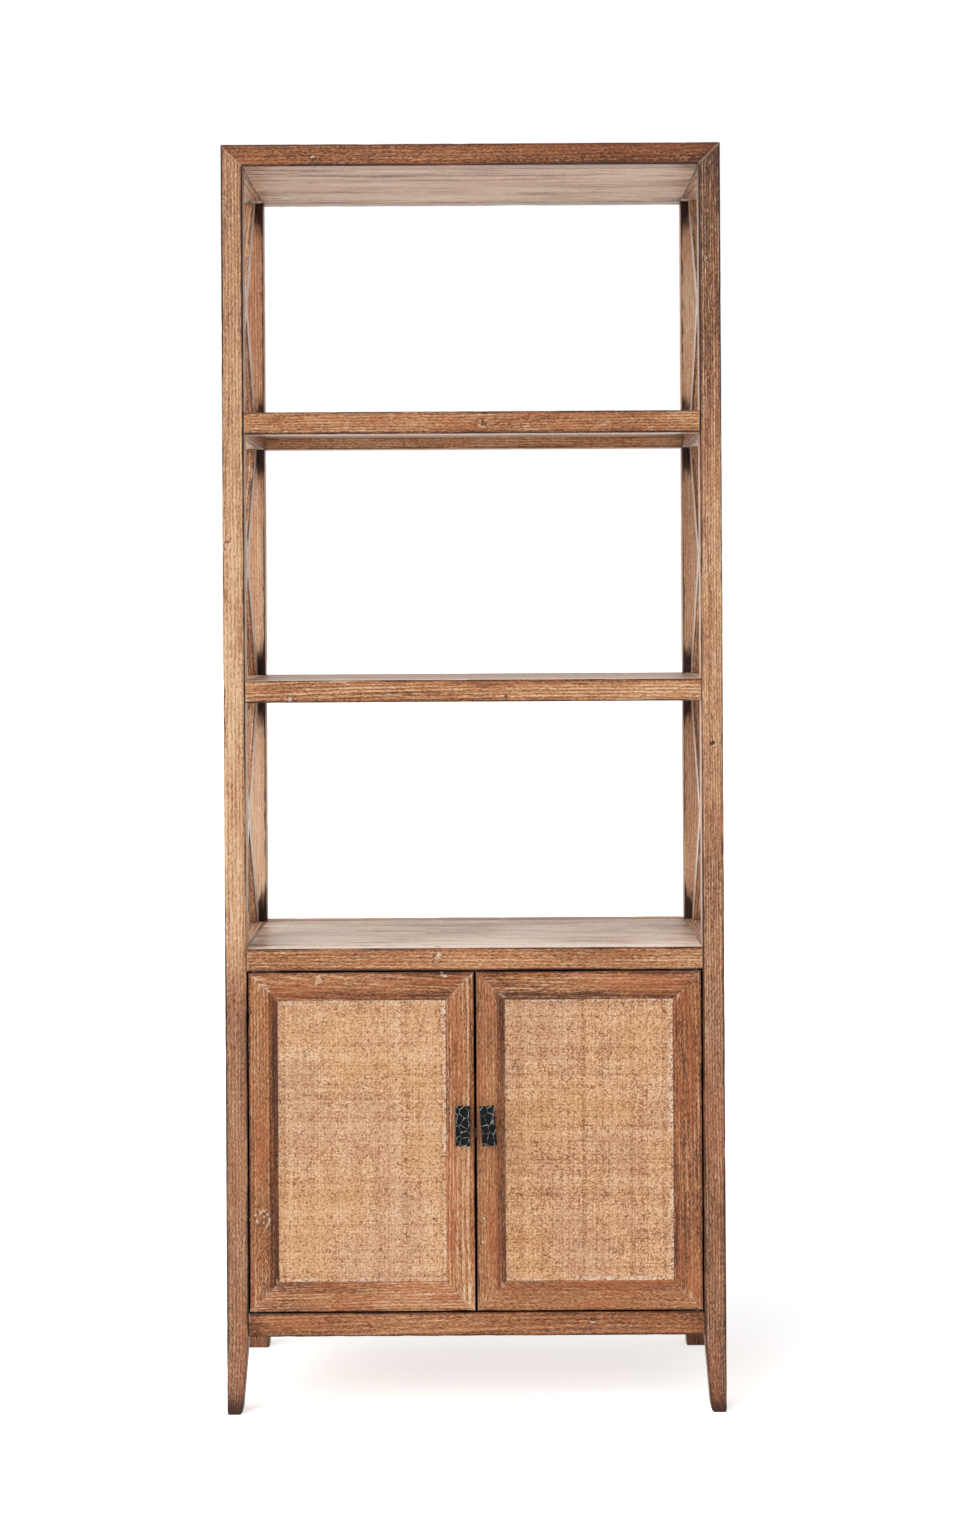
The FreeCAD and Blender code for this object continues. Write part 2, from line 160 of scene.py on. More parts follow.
def stick(origin, axes, section, cuts, seed, tones, hub=None, seams=(True, True), reshape=None, lap=None,
          flat=False, touched=untouched, stations=(), lively=((0, 1.0),)):
    """Sweeps a section along a stick of wood and returns its points, faces and marks for the finish.

    axes are the directions along, across and into the stick. Each cut tells how far along the
    stick it lies for a place of the section. tones are pairs of how far along and how pale, and
    lively of how far along and how strongly the grain shows. touched adds to the tone, and tells
    how much pale overlay (above 0) or dark overlay (below 0) there is: paste and glaze, and in
    places painted reflection and painted shade. hub is the place from which the ends are closed,
    lap a halving on the way and stations are extra places along the stick.
    """
    along, across, deep = (Vector(axis) for axis in axes)
    log_start, heart, slope = sawn_from(seed, flat)
    middle = sum((place for place, outward, rim in section), Vector((0, 0))) / len(section)
    stages = [(cuts[0], cuts[1], None)]
    if lap:
        stages = [(cuts[0], lap[0], None), (lap[0], lap[1], lap[2]), (lap[1], cuts[1], None)]
    made = {part: [] for part in ("points", "faces") + wood_marks}
    rings = 0
    for number, (begin, finish, keep) in enumerate(stages):
        length = finish(middle) - begin(middle)
        count = max(2, math.ceil(length / station_spacing))
        shares = sorted([index / count for index in range(count + 1)] + [lies / length for lies in stations])
        if number == 0 and seams[0]:
            shares.insert(1, seam_width / length)
        if number == len(stages) - 1 and seams[1]:
            shares.insert(-1, 1 - seam_width / length)
        for share in shares:
            at_start = number == 0 and seams[0] and share == 0
            at_end = number == len(stages) - 1 and seams[1] and share == 1
            for place, outward, rim in section:
                lies = begin(place) * (1 - share) + finish(place) * share
                kept = keep(place) if keep else place
                formed = reshape(lies, kept) if reshape else kept
                world = origin + along * lies + across * formed.x + deep * formed.y
                back = worn_back(world, rim) + (seam_depth if at_start or at_end else 0)
                if kept != place:
                    back = 0
                made["points"].append(world - (across * outward.x + deep * outward.y) * back)
                in_log = place - heart - slope * lies
                made["grain"].extend((lies + log_start, in_log.x, in_log.y))
                made["rim"].append(rim)
                to_start = lies - cuts[0](place) if seams[0] else far_away
                to_end = cuts[1](place) - lies if seams[1] else far_away
                made["butt"].append(min(to_start, to_end))
                paler, coat = touched(lies, place)
                made["tone"].append(level_at(lies, tones) + paler)
                made["coat"].append(coat)
                made["lively"].append(level_at(lies, lively))
            rings += 1
    size = len(section)
    for ring in range(rings - 1):
        for index in range(size):
            beside = (index + 1) % size
            here = ring * size
            made["faces"].append((here + index, here + beside, here + size + beside, here + size + index))
    for first in (0, (rings - 1) * size):
        if hub is None:
            made["faces"].append(tuple(range(first, first + size)))
            continue
        centre = min(range(size), key=lambda index: (section[index][0] - hub).length)
        for step in range(1, size - 1):
            made["faces"].append(tuple(first + (centre + turn) % size for turn in (0, step, step + 1)))
    return made


def shaped(name, node, points, faces, marks, finish, crease):
    """Makes an object that stands for the part of that node and moves with it.

    marks are values at the points, for the finish. Edges sharper than crease, in degrees, stay sharp.
    """
    mesh = bpy.data.meshes.new(name)
    mesh.from_pydata(points, [], faces)
    for mark, values in marks.items():
        kind, field = ("FLOAT_VECTOR", "vector") if mark == "grain" else ("FLOAT", "value")
        mesh.attributes.new(mark, kind, "POINT").data.foreach_set(field, values)
    shell = bmesh.new()
    shell.from_mesh(mesh)
    bmesh.ops.remove_doubles(shell, verts=shell.verts, dist=same_place)
    bmesh.ops.recalc_face_normals(shell, faces=shell.faces)
    shell.to_mesh(mesh)
    shell.free()
    mesh.shade_smooth()
    mesh.set_sharp_from_angle(angle=math.radians(crease))
    mesh.materials.append(finish)
    made = bpy.data.objects.new(name, mesh)
    bpy.context.scene.collection.objects.link(made)
    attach(made, frame["nodes"][node]["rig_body"])
    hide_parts(node)
    return made


def piece(node, sticks, finish):
    """Joins sticks into one object for the part of that name."""
    points = []
    faces = []
    for made in sticks:
        faces.extend(tuple(corner + len(points) for corner in face) for face in made["faces"])
        points.extend(made["points"])
    marks = {mark: [value for made in sticks for value in made[mark]] for mark in wood_marks}
    shaped(node + "_wood", node, points, faces, marks, finish, crease=50)


class Link:
    """A socket of a material's nodes. Sums of links and numbers add Math nodes."""

    def __init__(self, tree, socket=None):
        self.tree = tree
        self.socket = socket

    def node(self, kind, settings, sockets, output=0):
        """Adds a node from its type, its settings, and the values or links of its sockets."""
        made = self.tree.nodes.new("ShaderNode" + kind)
        for name, value in settings.items():
            if name == "stops":
                for _ in value[2:]:
                    made.color_ramp.elements.new(0.5)
                for stop, (position, colour) in zip(made.color_ramp.elements, value):
                    stop.position = position
                    stop.color = colour
            else:
                setattr(made, name, value)
        inputs = [socket for socket in made.inputs if socket.enabled]
        for name, value in sockets.items():
            target = inputs[name] if isinstance(name, int) else next(s for s in inputs if s.name == name)
            if isinstance(value, Link):
                self.tree.links.new(value.socket, target)
            else:
                target.default_value = value
        outputs = [socket for socket in made.outputs if socket.enabled]
        if not outputs:
            return None
        found = outputs[output] if isinstance(output, int) else next(s for s in outputs if s.name == output)
        return Link(self.tree, found)

    def math(self, operation, *values):
        return self.node("Math", {"operation": operation}, dict(enumerate(values)))

    def __add__(self, other):
        return self.math("ADD", self, other)

    def __sub__(self, other):
        return self.math("SUBTRACT", self, other)

    def __rsub__(self, other):
        return self.math("SUBTRACT", other, self)

    def __mul__(self, other):
        return self.math("MULTIPLY", self, other)

    def __truediv__(self, other):
        return self.math("DIVIDE", self, other)

    def __rtruediv__(self, other):
        return self.math("DIVIDE", other, self)

    __radd__ = __add__
    __rmul__ = __mul__

    def floor(self):
        return self.math("FLOOR", self)

    def size(self):
        return self.math("ABSOLUTE", self)

    def root(self):
        return self.math("SQRT", self)

    def joined(self, second, third):
        return self.node("CombineXYZ", {}, {"X": self, "Y": second, "Z": third})

    def between(self, low, high):
        """0 below low and 1 above high, with a soft step from one to the other."""
        return self.node("MapRange", {"interpolation_type": "SMOOTHSTEP"},
                         {"Value": self, "From Min": low, "From Max": high})

    def tint(self, without, full):
        """One colour where this is 0, the other where it is 1."""
        return self.node("Mix", {"data_type": "RGBA"}, {"Factor": self, "A": without, "B": full})

    def among(self, *codes):
        """A colour of a row that is spread evenly from 0 to 1."""
        stops = [(index / (len(codes) - 1), colour(code)) for index, code in enumerate(codes)]
        return self.node("ValToRGB", {"stops": stops}, {"Fac": self}, "Color")

    def scaled(self, *scales):
        return self.node("VectorMath", {"operation": "MULTIPLY"}, {0: self, 1: scales})

    def figure(self, along, across, detail=1.0, output="Fac", moved=0.0):
        """Noise with spots so many to the metre along the grain and across it."""
        spots = self.node("VectorMath", {"operation": "MULTIPLY_ADD"},
                          {0: self, 1: (along, across, across), 2: (moved, 0.0, 0.0)})
        return spots.cloud(detail, output)

    def cloud(self, detail=2.0, output="Fac"):
        """Noise at these coordinates."""
        return self.node("TexNoise", {}, {"Vector": self, "Scale": 1.0, "Detail": detail}, output)

    def parts(self):
        return [self.node("SeparateXYZ", {}, {"Vector": self}, axis) for axis in "XYZ"]


def colour(code):
    """A colour written as on screen, in the linear values that shaders take."""
    shares = [int(code[place:place + 2], 16) / 255 for place in (1, 3, 5)]
    linear = [c / 12.92 if c <= 0.04045 else ((c + 0.055) / 1.055) ** 2.4 for c in shares]
    return (*linear, 1.0)


def finish_from(name):
    """A new material, with a link that starts its nodes and a function that ends them."""
    material = bpy.data.materials.new(name)
    material.use_nodes = True
    tree = material.node_tree
    tree.nodes.clear()
    start = Link(tree)

    def shade(**sockets):
        shader = start.node("BsdfPrincipled", {}, {key.replace("_", " "): sockets[key] for key in sockets})
        start.node("OutputMaterial", {}, {"Surface": shader})
        return material

    return start, shade


def pine(name, stains, cream="#efd6b8", glaze="#38221a", ring=0.0044, contrast=1.0, broad_share=0.5,
         torn_share=1.4, paste=1.0, glazed=0.8, jointed=1.0, scuffed=0.0, rough=0.5, gloss=0.25,
         redness=0.2, knots=()):
    """Brushed and filled pine, with stains from dark to pale.

    ring is how far apart the growth rings lie, and broad_share and torn_share tell how much broad
    streaks and torn fibres show. paste, glazed, jointed and scuffed tell how much cream paste, dark
    glaze at the edges, filler at the joints and rubbing near them was left on.
    knots are (seed of the stick, flat sawn, along, across, deep, size, colour of the heart).
    """
    start, shade = finish_from(name)
    grain = start.node("Attribute", {"attribute_name": "grain"}, {}, "Vector")
    rim, butt, tone, coat, lively = (start.node("Attribute", {"attribute_name": mark}, {}, "Fac")
                                     for mark in ("rim", "butt", "tone", "coat", "lively"))
    along, across, deep = grain.parts()

    # A knot is a branch that runs out from the heart and pushes the grain aside
    knot = []
    for seed, flat, knot_along, knot_across, knot_deep, knot_size, heart_code in knots:
        log_start, heart, slope = sawn_from(seed, flat)
        branch = (Vector((knot_across, knot_deep)) - heart - slope * knot_along).normalized()
        aside = across * -branch.y + deep * branch.x
        past = (along - (knot_along + log_start)) * 0.75
        away = (past * past + aside * aside).root() / knot_size
        near = (past.size() / knot_size).between(3.0, 0.0) * (aside.size() / knot_size).between(3.5, 0.8)
        pushed = near * knot_size * 0.9 * aside / (aside.size() + knot_size * 0.4)
        across = across + pushed * branch.y
        deep = deep - pushed * branch.x
        knot.append((away, heart_code))

    # Growth rings run round the heart, and wander
    wander = grain.figure(1.6, 7.0, 0.0, "Color").parts()
    ripple = grain.figure(20.0, 60.0, 1.0, "Color").parts()
    across = across + (wander[0] - 0.5) * 0.015 + (ripple[0] - 0.5) * 0.0022
    deep = deep + (wander[1] - 0.5) * 0.015 + (ripple[1] - 0.5) * 0.0022
    rings = (across * across + deep * deep).root() / ring
    ring_number = rings.floor()
    within = rings - ring_number
    ring_chance = ((along * 0.6).joined(ring_number * 1.7, 0.0).cloud(0.0) - 0.5) * 2.4 + 0.5
    late = within.between(0.35, 0.82) * within.between(1.0, 0.9)
    early = within.between(0.0, 0.14) * within.between(0.52, 0.26)

    # Streaks follow the grain, broad ones, short ones and flecks where the brush tore the wood
    flow = along.joined(across, deep)
    drift = flow.figure(3.4, 18.0) - 0.5
    streak = flow.figure(9.0, 130.0) - 0.5
    fleck = flow.figure(34.0, 520.0) - 0.5
    torn = flow.figure(170.0, 620.0, 1.0) - 0.5
    filled = flow.figure(7.0, 90.0, moved=21.0).between(0.42, 0.60)
    pale = (drift + streak) * broad_share + fleck * 0.85 + (ring_chance - 0.5) * 0.18
    pale = pale + early * (0.04 + 0.26 * filled) - late * (0.08 + 0.14 * ring_chance)
    pale = pale * lively + torn * torn_share
    wood = (tone + pale * contrast).among(*stains)
    red = flow.figure(5.0, 40.0, moved=15.0).between(0.46, 0.66)
    wood = (red * redness).tint(wood, colour("#b0643c"))

    # Cream paste stays in beads and dashes of the soft grain
    patch = flow.figure(6.0, 34.0, moved=3.0)
    dash = flow.figure(62.0, 560.0, moved=7.0).between(0.57, 0.66)
    held = dash * (0.35 + 0.65 * early) * patch.between(0.42, 0.60)
    held = held * (0.35 + tone.between(0.0, 0.5) * 0.65) * lively * paste
    wood = (held * 0.9).tint(wood, colour(cream))

    # Dark glaze stays in cracks, along the edges and at the joints
    crack = flow.figure(20.0, 360.0, moved=11.0).between(0.66, 0.76) * patch.between(0.6, 0.4)
    ragged = flow.figure(40.0, 190.0, 2.0, moved=5.0) - 0.5
    gathered = flow.figure(8.0, 26.0, moved=9.0).between(0.34, 0.60)
    edge = (rim + ragged * 0.012).between(0.0058, 0.0004) * (0.3 + 0.7 * gathered)
    corner = (butt + ragged * 0.035).between(0.014, 0.0) * gathered * 0.4 * jointed
    # The dark overlay is glaze, and also painted shade where it stands for the shade in door gaps and in
    # corners by the shelves
    dark_overlay = (coat * -1.0 + ragged * 0.9 * (coat * -4.0).between(0.0, 1.0)).between(0.0, 1.0)
    dark = start.math("MAXIMUM", edge, corner) * glazed + crack * 0.4 * contrast + dark_overlay * 1.2
    wood = dark.between(0.0, 1.15).tint(wood, colour(glaze))

    # Joints close on a thin dark line with traces of paste
    line = (butt + ragged * 0.0015).between(0.0013, 0.0004)
    trace = (butt + ragged * 0.006).between(0.0034, 0.0014) * patch.between(0.40, 0.56) * 0.35 * jointed
    scuff = (butt + ragged * 0.07).between(0.012, 0.0)
    scuff = scuff * flow.figure(46.0, 260.0, moved=13.0).between(0.5, 0.6)
    scuff = scuff * (0.15 + 0.85 * flow.figure(9.0, 40.0, moved=19.0).between(0.46, 0.56))
    wood = ((trace + scuff * scuffed) * paste).tint(wood, colour(cream))
    wood = (line * 0.5 * jointed).tint(wood, colour(glaze))
    # The pale overlay is paste, and also a painted reflection of the white floor under rails and on the
    # slats' inner faces
    wood = (coat * (0.9 + fleck * 0.9)).between(0.0, 1.0).tint(wood, colour("#fbe9da"))
    broken = flow.figure(110.0, 170.0, moved=17.0)
    for away, heart_code in knot:
        rough_away = away + ragged * 2.4
        wood = (rough_away.between(1.3, 0.9) * broken.between(0.40, 0.62) * 0.8).tint(wood, colour("#5d3a28"))
        wood = (rough_away.between(0.85, 0.35) * 0.85).tint(wood, colour(heart_code))
        paler = rough_away.between(1.5, 1.1) * rough_away.between(0.5, 0.8) * broken.between(0.48, 0.40)
        wood = (paler * 0.6 * paste).tint(wood, colour(cream))

    relief = late * 0.5 + torn * 0.6 + fleck * 0.9 - crack * 1.2 - held * 0.3
    bumped = relief.node("Bump", {}, {"Strength": 0.6, "Distance": 0.0007, "Height": relief})
    roughness = rough + streak * 0.25 + held * 0.15 + edge * 0.08 - coat.between(0.0, 0.6) * 0.2
    return shade(Base_Color=wood, Roughness=roughness, Normal=bumped, Specular_IOR_Level=gloss)


post_knots = ((1, False, 1.565, 0.008, 0, 0.0065, "#cfa88a"),
              (2, False, 1.204, 0.0195, 0, 0.0026, "#120a06"),
              (2, False, 2.075, 0.018, 0, 0.0030, "#8a6148"))
post_stains = ("#4e3224", "#855b43", "#b08061", "#cf9f77", "#e8c69f")
rear_post_stains = ("#4e3224", "#855840", "#b37e5f", "#d19c77", "#e6c6a7")
post_pine = pine("brushed_post_pine", post_stains, jointed=0.6, knots=post_knots)
rear_post_pine = pine("smooth_post_pine", rear_post_stains, contrast=0.6, paste=0.5)


def square_section(across, deep, rounding=stick_rounding):
    corners = [Vector((0, 0)), Vector((across, 0)), Vector((across, deep)), Vector((0, deep))]
    return section_points(corners, rounding)


outer_edge = Vector((0, 0))
post_section = square_section(post_size, post_size)
foot_rounding = 0.008
foot_stations = [foot_rounding * share for share in (0.1, 0.25, 0.5, 0.75, 1.0)]
foot_inner_share = 0.55
foot_outer_share = 0.15


def tapered(lies, place):
    """A foot narrows on its inner side, and is rounded where it meets the floor."""
    share = min(1.0, lies / foot_height)
    width = foot_width + (post_size - foot_width) * share
    rounding = max(0.0, 1 - lies / foot_rounding)
    width -= foot_rounding * foot_inner_share * (1 - math.sqrt(1 - rounding ** 2))
    outer = foot_rounding * foot_outer_share * rounding ** 2
    return Vector((outer + place.x * (width - outer) / post_size, place.y))


post_tones = {
    "left_front_post": ((0, -0.12), (0.012, -0.04), (0.045, 0.42), (0.4, 0.42), (0.75, 0.37),
                        (0.85, 0.78), (0.95, 0.84), (1.08, 0.80), (1.2, 0.79), (1.33, 0.88),
                        (1.8, 0.71), (1.92, 0.65), (2.25, 0.38)),
    "right_front_post": ((0, -0.16), (0.012, -0.08), (0.045, 0.26), (0.5, 0.31), (0.9, 0.40),
                         (1.25, 0.61), (1.6, 0.60), (1.8, 0.40), (2.2, 0.13), (2.25, 0.02),
                         (2.286, -0.2)),
    "left_rear_post": ((0, 0.2), (0.3, 0.35), (0.85, 1.03), (1.2, 0.92), (1.6, 0.76), (2.0, 0.60)),
    "right_rear_post": ((0, 0.2), (0.3, 0.35), (0.85, 0.80), (1.2, 0.80), (1.6, 0.82), (2.0, 0.88))}
post_grain = {
    "left_front_post": ((0, 0.48), (0.8, 0.48), (0.95, 1.0), (1.65, 1.0), (1.95, 0.66)),
    "right_front_post": ((0, 0.70), (0.8, 0.70), (1.2, 0.78), (1.6, 0.85), (1.9, 1.0)),
    "left_rear_post": ((0, 1.0),),
    "right_rear_post": ((0, 1.0),)}
shelf_heights = [level.z for name in ("cabinet_top", "lower_shelf", "upper_shelf")
                 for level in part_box(name + "_rear_rail")]
shelf_heights.append(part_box("top_rear_rail")[0].z)
# Painted shade on the rear posts, darkest close to each shelf in the inner front corner
corner_shade_reach = 0.055
corner_shade_amount = 1.1
corner_shade_start, corner_shade_spread = 0.25, 0.4


def shelf_corner_shade(lies, place):
    """Painted shade: the inner front corner of a rear post is darkened near each shelf, where shade falls."""
    nearest = min(abs(lies - level) for level in shelf_heights)
    inward = min(1.0, max(0.0, place.x / post_size - corner_shade_start) / corner_shade_spread)
    forward = max(0.0, place.y / post_size - 0.5) * 2
    return 0.0, -corner_shade_amount * math.exp(-(nearest / corner_shade_reach) ** 2) * inward * forward


on_face = 0.001
front_depth = 0.003
foot_glaze_height = 0.034
foot_glaze = 0.8
door_gap_shade = 1.0
outer_glaze = ((0, 0.40), (0.8, 0.36), (0.95, 0.05), (1.65, 0.0), (1.95, 0.50), (2.25, 0.80))
inner_glaze = ((0.8, 0.22), (0.9, 0.30), (1.6, 0.34), (1.85, 0.70))


def post_coat(inner_paste):
    """Glaze along the edges of a front post and at its foot, paste on its inner side, and painted shade on
    its inner side in the gap beside the doors.
    """
    def touched(lies, place):
        if place.x > post_size - on_face and place.y > front_depth:
            if lies > opening_high:
                return 0.0, inner_paste
            # Painted shade: the inner side is dark where it faces the gap beside the doors
            return 0.0, -door_gap_shade if lies > opening_low else 0.0
        coat = -foot_glaze * max(0.0, 1 - lies / foot_glaze_height)
        if place.x > post_size - front_depth:
            coat -= level_at(lies, inner_glaze)
        if place.x < front_depth and place.y < front_depth:
            coat -= level_at(lies, outer_glaze)
        return 0.0, coat
    return touched


front_coats = {"left_front_post": post_coat(0.1), "right_front_post": post_coat(0.3)}
post_seed = 1
for index, (node, tones) in enumerate(post_tones.items()):
    in_front = node in front_coats
    inward_x = 1 if "left" in node else -1
    inward_y = 1 if in_front else -1
    start = Vector((left if inward_x > 0 else right, front if in_front else rear, floor))
    made = stick(start, ((0, 0, 1), (inward_x, 0, 0), (0, inward_y, 0)), post_section,
                 (lambda place: 0, lambda place: height - max(place.x, place.y)), post_seed + index,
                 tones, hub=outer_edge, seams=(False, True), reshape=tapered if in_front else None,
                 touched=front_coats.get(node, shelf_corner_shade), stations=foot_stations if in_front else (),
                 lively=post_grain[node])
    piece(node, [made], post_pine if in_front else rear_post_pine)

# Top rails
# Four rails of the same brushed pine, as thick as the posts. They are mitred three ways into the
# posts and each other, and glued, so that no end grain shows.
rail_face = post_size
rail_section = square_section(rail_face, rail_face)


def mitre(place):
    return max(place.x, place.y)


rail_stains = ("#4d2a1a", "#8a5537", "#b37950", "#cc986e", "#e6c49f")
rail_knots = ((33, False, 0.430, 0.020, 0, 0.0045, "#6a4330"),
              (29, False, 0.080, 0.034, 0, 0.0050, "#d8bda2"),
              (29, False, 0.468, 0.031, 0, 0.0035, "#4a2d20"),
              (25, False, 0.342, 0.020, 0, 0.0055, "#c59b7b"),
              (21, False, 0.62, 0.014, 0, 0.0040, "#5b3826"),
              (34, False, 0.188, 0.024, 0, 0.0055, "#3a2418"),
              (34, False, 0.472, 0.019, 0, 0.0050, "#4a2d1e"),
              (34, False, 0.713, 0.027, 0, 0.0060, "#3a2418"),
              (34, False, 0.765, 0.030, 0, 0.0045, "#4a2d1e"))
rail_pine = pine("brushed_rail_pine", rail_stains, knots=rail_knots, contrast=1.05, paste=1.15,
                 glazed=0.7, jointed=0.6)
# Painted reflection of the white floor under the side rails, with a painted highlight at their rear ends
rear_painted_highlight = 1.15
rear_highlight_length = 0.030
outer_reflection_width = 0.024
inner_reflection_share = 0.2
lower_glaze_and_shade_width = 0.010
upper_glaze_width = 0.007
upper_glaze_share = 0.8
edge_glaze_and_shade = 1.2
edge_shade = 0.4


def pale_underside_reflection(depth, length, amount, above=0.3):
    """Painted reflection: pale under a side rail as if the white floor showed in it, strongest on the outer
    part and as a painted highlight at the rear, with thin paste above.
    """
    def touched(lies, place):
        if place.x < depth - on_face:
            return 0.0, above if place.x < on_face else 0.0
        if lies > length - rear_highlight_length:
            return 0.0, rear_painted_highlight
        return 0.0, amount if place.y < outer_reflection_width else amount * inner_reflection_share
    return touched


def glazed_and_shaded_edges(depth, amount, under, above=0.0):
    """Glaze along a front rail's edges, with painted shade making the lower one darkest, a pale painted
    reflection under it, and paste above it, or painted shade where above is below 0.
    """
    def touched(lies, place):
        if place.y > front_depth and not on_face < place.x < depth - on_face:
            return 0.0, under if place.x > on_face else above
        # Painted shade: the lower edge, which faces down, is darkened most, on top of the edge glaze
        lower = max(0.0, 1 - (depth - place.x) / lower_glaze_and_shade_width)
        upper = max(0.0, 1 - place.x / upper_glaze_width)
        coat = -edge_glaze_and_shade * amount * max(lower, upper_glaze_share * upper) if place.y < front_depth else 0.0
        return -edge_shade * amount * max(lower, upper), coat
    return touched


top_seed = 11
top_side_seed = 14
top_tones = ((0.01, 0.15), (0.05, 0.29), (0.3, 0.31), (0.5, 0.21), (0.7, 0.13), (0.84, 0.14), (0.9, -0.2))
for index, (node, y, inward_y) in enumerate((("top_front_rail", front, 1), ("top_rear_rail", rear, -1))):
    made = stick(Vector((left, y, height)), ((1, 0, 0), (0, 0, -1), (0, inward_y, 0)), rail_section,
                 (mitre, lambda place: right - left - mitre(place)), top_seed + index, top_tones,
                 hub=outer_edge, touched=glazed_and_shaded_edges(rail_face, 0.38, 0.35), lively=((0, 0.4),))
    piece(node, [made], rail_pine)
side_rails = []
for index, (x, inward_x) in enumerate(((left, 1), (right, -1))):
    side_rails.append(stick(
        Vector((x, front, height)), ((0, 1, 0), (0, 0, -1), (inward_x, 0, 0)), rail_section,
        (mitre, lambda place: rear - front - mitre(place)), top_side_seed + index, ((0, 0.45),),
        hub=outer_edge, touched=pale_underside_reflection(rail_face, rear - front - rail_face, 0.45)))
piece("top_side_rails", side_rails, post_pine)

# Shelf rails and base rails
# Each of the four lower levels is framed by two long rails and two short ones of brushed pine,
# tenoned into the posts and flush with their faces.
level_seed = 21

# From the floor upwards: how strongly the long rails' grain shows, the paste on top of the long and
# of the short ones (below 0, painted shade), and the tones of the front one
level_looks = {
    # The base rail's top is painted dark as shade in the gap under the doors
    "base": (0.52, -1.0, 0.3, ((0, 0.06), (0.016, 0.16), (0.03, 0.38), (0.3, 0.42), (0.45, 0.35),
                               (0.78, 0.31), (0.82, 0.16))),
    "cabinet_top": (0.70, 0.8, 0.17, ((0, 0.52), (0.3, 0.54), (0.42, 0.60), (0.55, 0.58),
                                      (0.68, 0.51), (0.82, 0.57))),
    "lower_shelf": (0.92, 0.8, 0.3, ((0, 0.52), (0.35, 0.58), (0.5, 0.50), (0.65, 0.48), (0.82, 0.70))),
    "upper_shelf": (0.68, 0.8, 0.3, ((0, 0.57), (0.25, 0.49), (0.6, 0.41), (0.74, 0.35), (0.82, 0.48)))}
for level, (name, (grain, above, side_above, front_tones)) in enumerate(level_looks.items()):
    low_z, high_z = (corner.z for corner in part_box(name + "_front_rail"))
    level_section = square_section(high_z - low_z, post_size)
    glazed_and_shaded_front = glazed_and_shaded_edges(high_z - low_z, 0.34, 0.4, above)
    reflecting_sides = pale_underside_reflection(high_z - low_z, inner_rear - inner_front, 1.1, side_above)
    long_rails = (("_front_rail", front, 1, front_tones, glazed_and_shaded_front),
                  ("_rear_rail", rear, -1, ((0, 0.72),), untouched))
    for index, (ending, y, inward_y, tones, touched) in enumerate(long_rails):
        made = stick(Vector((inner_left, y, high_z)), ((1, 0, 0), (0, 0, -1), (0, inward_y, 0)),
                     level_section, (lambda place: 0, lambda place: inner_right - inner_left),
                     level_seed + level * 4 + index, tones, touched=touched, lively=((0, grain),))
        piece(name + ending, [made], rail_pine)
    pair = []
    for index, (x, inward_x) in enumerate(((left, 1), (right, -1))):
        pair.append(stick(
            Vector((x, inner_front, high_z)), ((0, 1, 0), (0, 0, -1), (inward_x, 0, 0)), level_section,
            (lambda place: 0, lambda place: inner_rear - inner_front),
            level_seed + level * 4 + 2 + index, ((0, 0.4),), touched=reflecting_sides))
    piece(name + "_side_rails", pair, post_pine)

# Boards of the top, ceiling, shelves and cabinet top
# Planks of the same pine, planed, limed and waxed to a satin face. Each level has three, with
# tongues that lie in grooves of the rails round them.
board_stains = ("#6b4a38", "#9c7a62", "#c6a48a", "#dabfa9", "#ecdacb")
ceiling_stains = ("#6b4633", "#96725a", "#c2997c", "#d9b496", "#ead0ba")
ceiling_knots = ((46, False, 0.589, 0.17, 0.012, 0.0060, "#463128"),)


def board_pine(name, stains, contrast, broad, torn, **others):
    return pine(name, stains, cream="#e4d2c0", ring=0.0062, contrast=contrast, broad_share=broad,
                torn_share=torn, paste=0.3, glazed=0.1, **others)


cabinet_board_pine = board_pine("cabinet_board_pine", board_stains, 1.6, 1.0, 0.7, glaze="#5a4238",
                                rough=0.40, redness=0.0)
shelf_pine = board_pine("waxed_shelf_pine", board_stains, 0.8, 0.8, 0.7, glaze="#5a4238", rough=0.40,
                        redness=0.1)
ceiling_pine = board_pine("ceiling_pine", ceiling_stains, 1.7, 1.0, 0.8, glaze="#4a342a", redness=0.0,
                          knots=ceiling_knots)
plank_rounding = 0.0009
plank_seed = 41


def separate_boxes(node):
    """The lowest and highest corners of each separate solid of a part, from front to back."""
    shell = bmesh.new()
    shell.from_mesh(frame["nodes"][node].data)
    bmesh.ops.remove_doubles(shell, verts=shell.verts, dist=same_place)
    waiting = set(shell.verts)
    boxes = []
    while waiting:
        found = {waiting.pop()}
        edge = set(found)
        while edge:
            edge = {link.other_vert(v) for v in edge for link in v.link_edges} - found
            found |= edge
        waiting -= found
        places = [v.co for v in found]
        low = Vector([min(place[axis] for place in places) for axis in range(3)])
        high = Vector([max(place[axis] for place in places) for axis in range(3)])
        boxes.append((low, high))
    shell.free()
    return sorted(boxes, key=lambda box: (round(box[0].y, 4), round(box[0].x, 4)))


# Painted shade: the boards darken towards their ends, beside the posts
ends_in_painted_shade = ((0, -0.26), (0.05, -0.08), (0.12, 0), (0.74, 0), (0.82, -0.18))
ends_in_deep_painted_shade = ((0, -0.50), (0.018, -0.38), (0.03, -0.12), (0.12, 0), (0.74, 0), (0.785, -0.20), (0.82, -0.34))

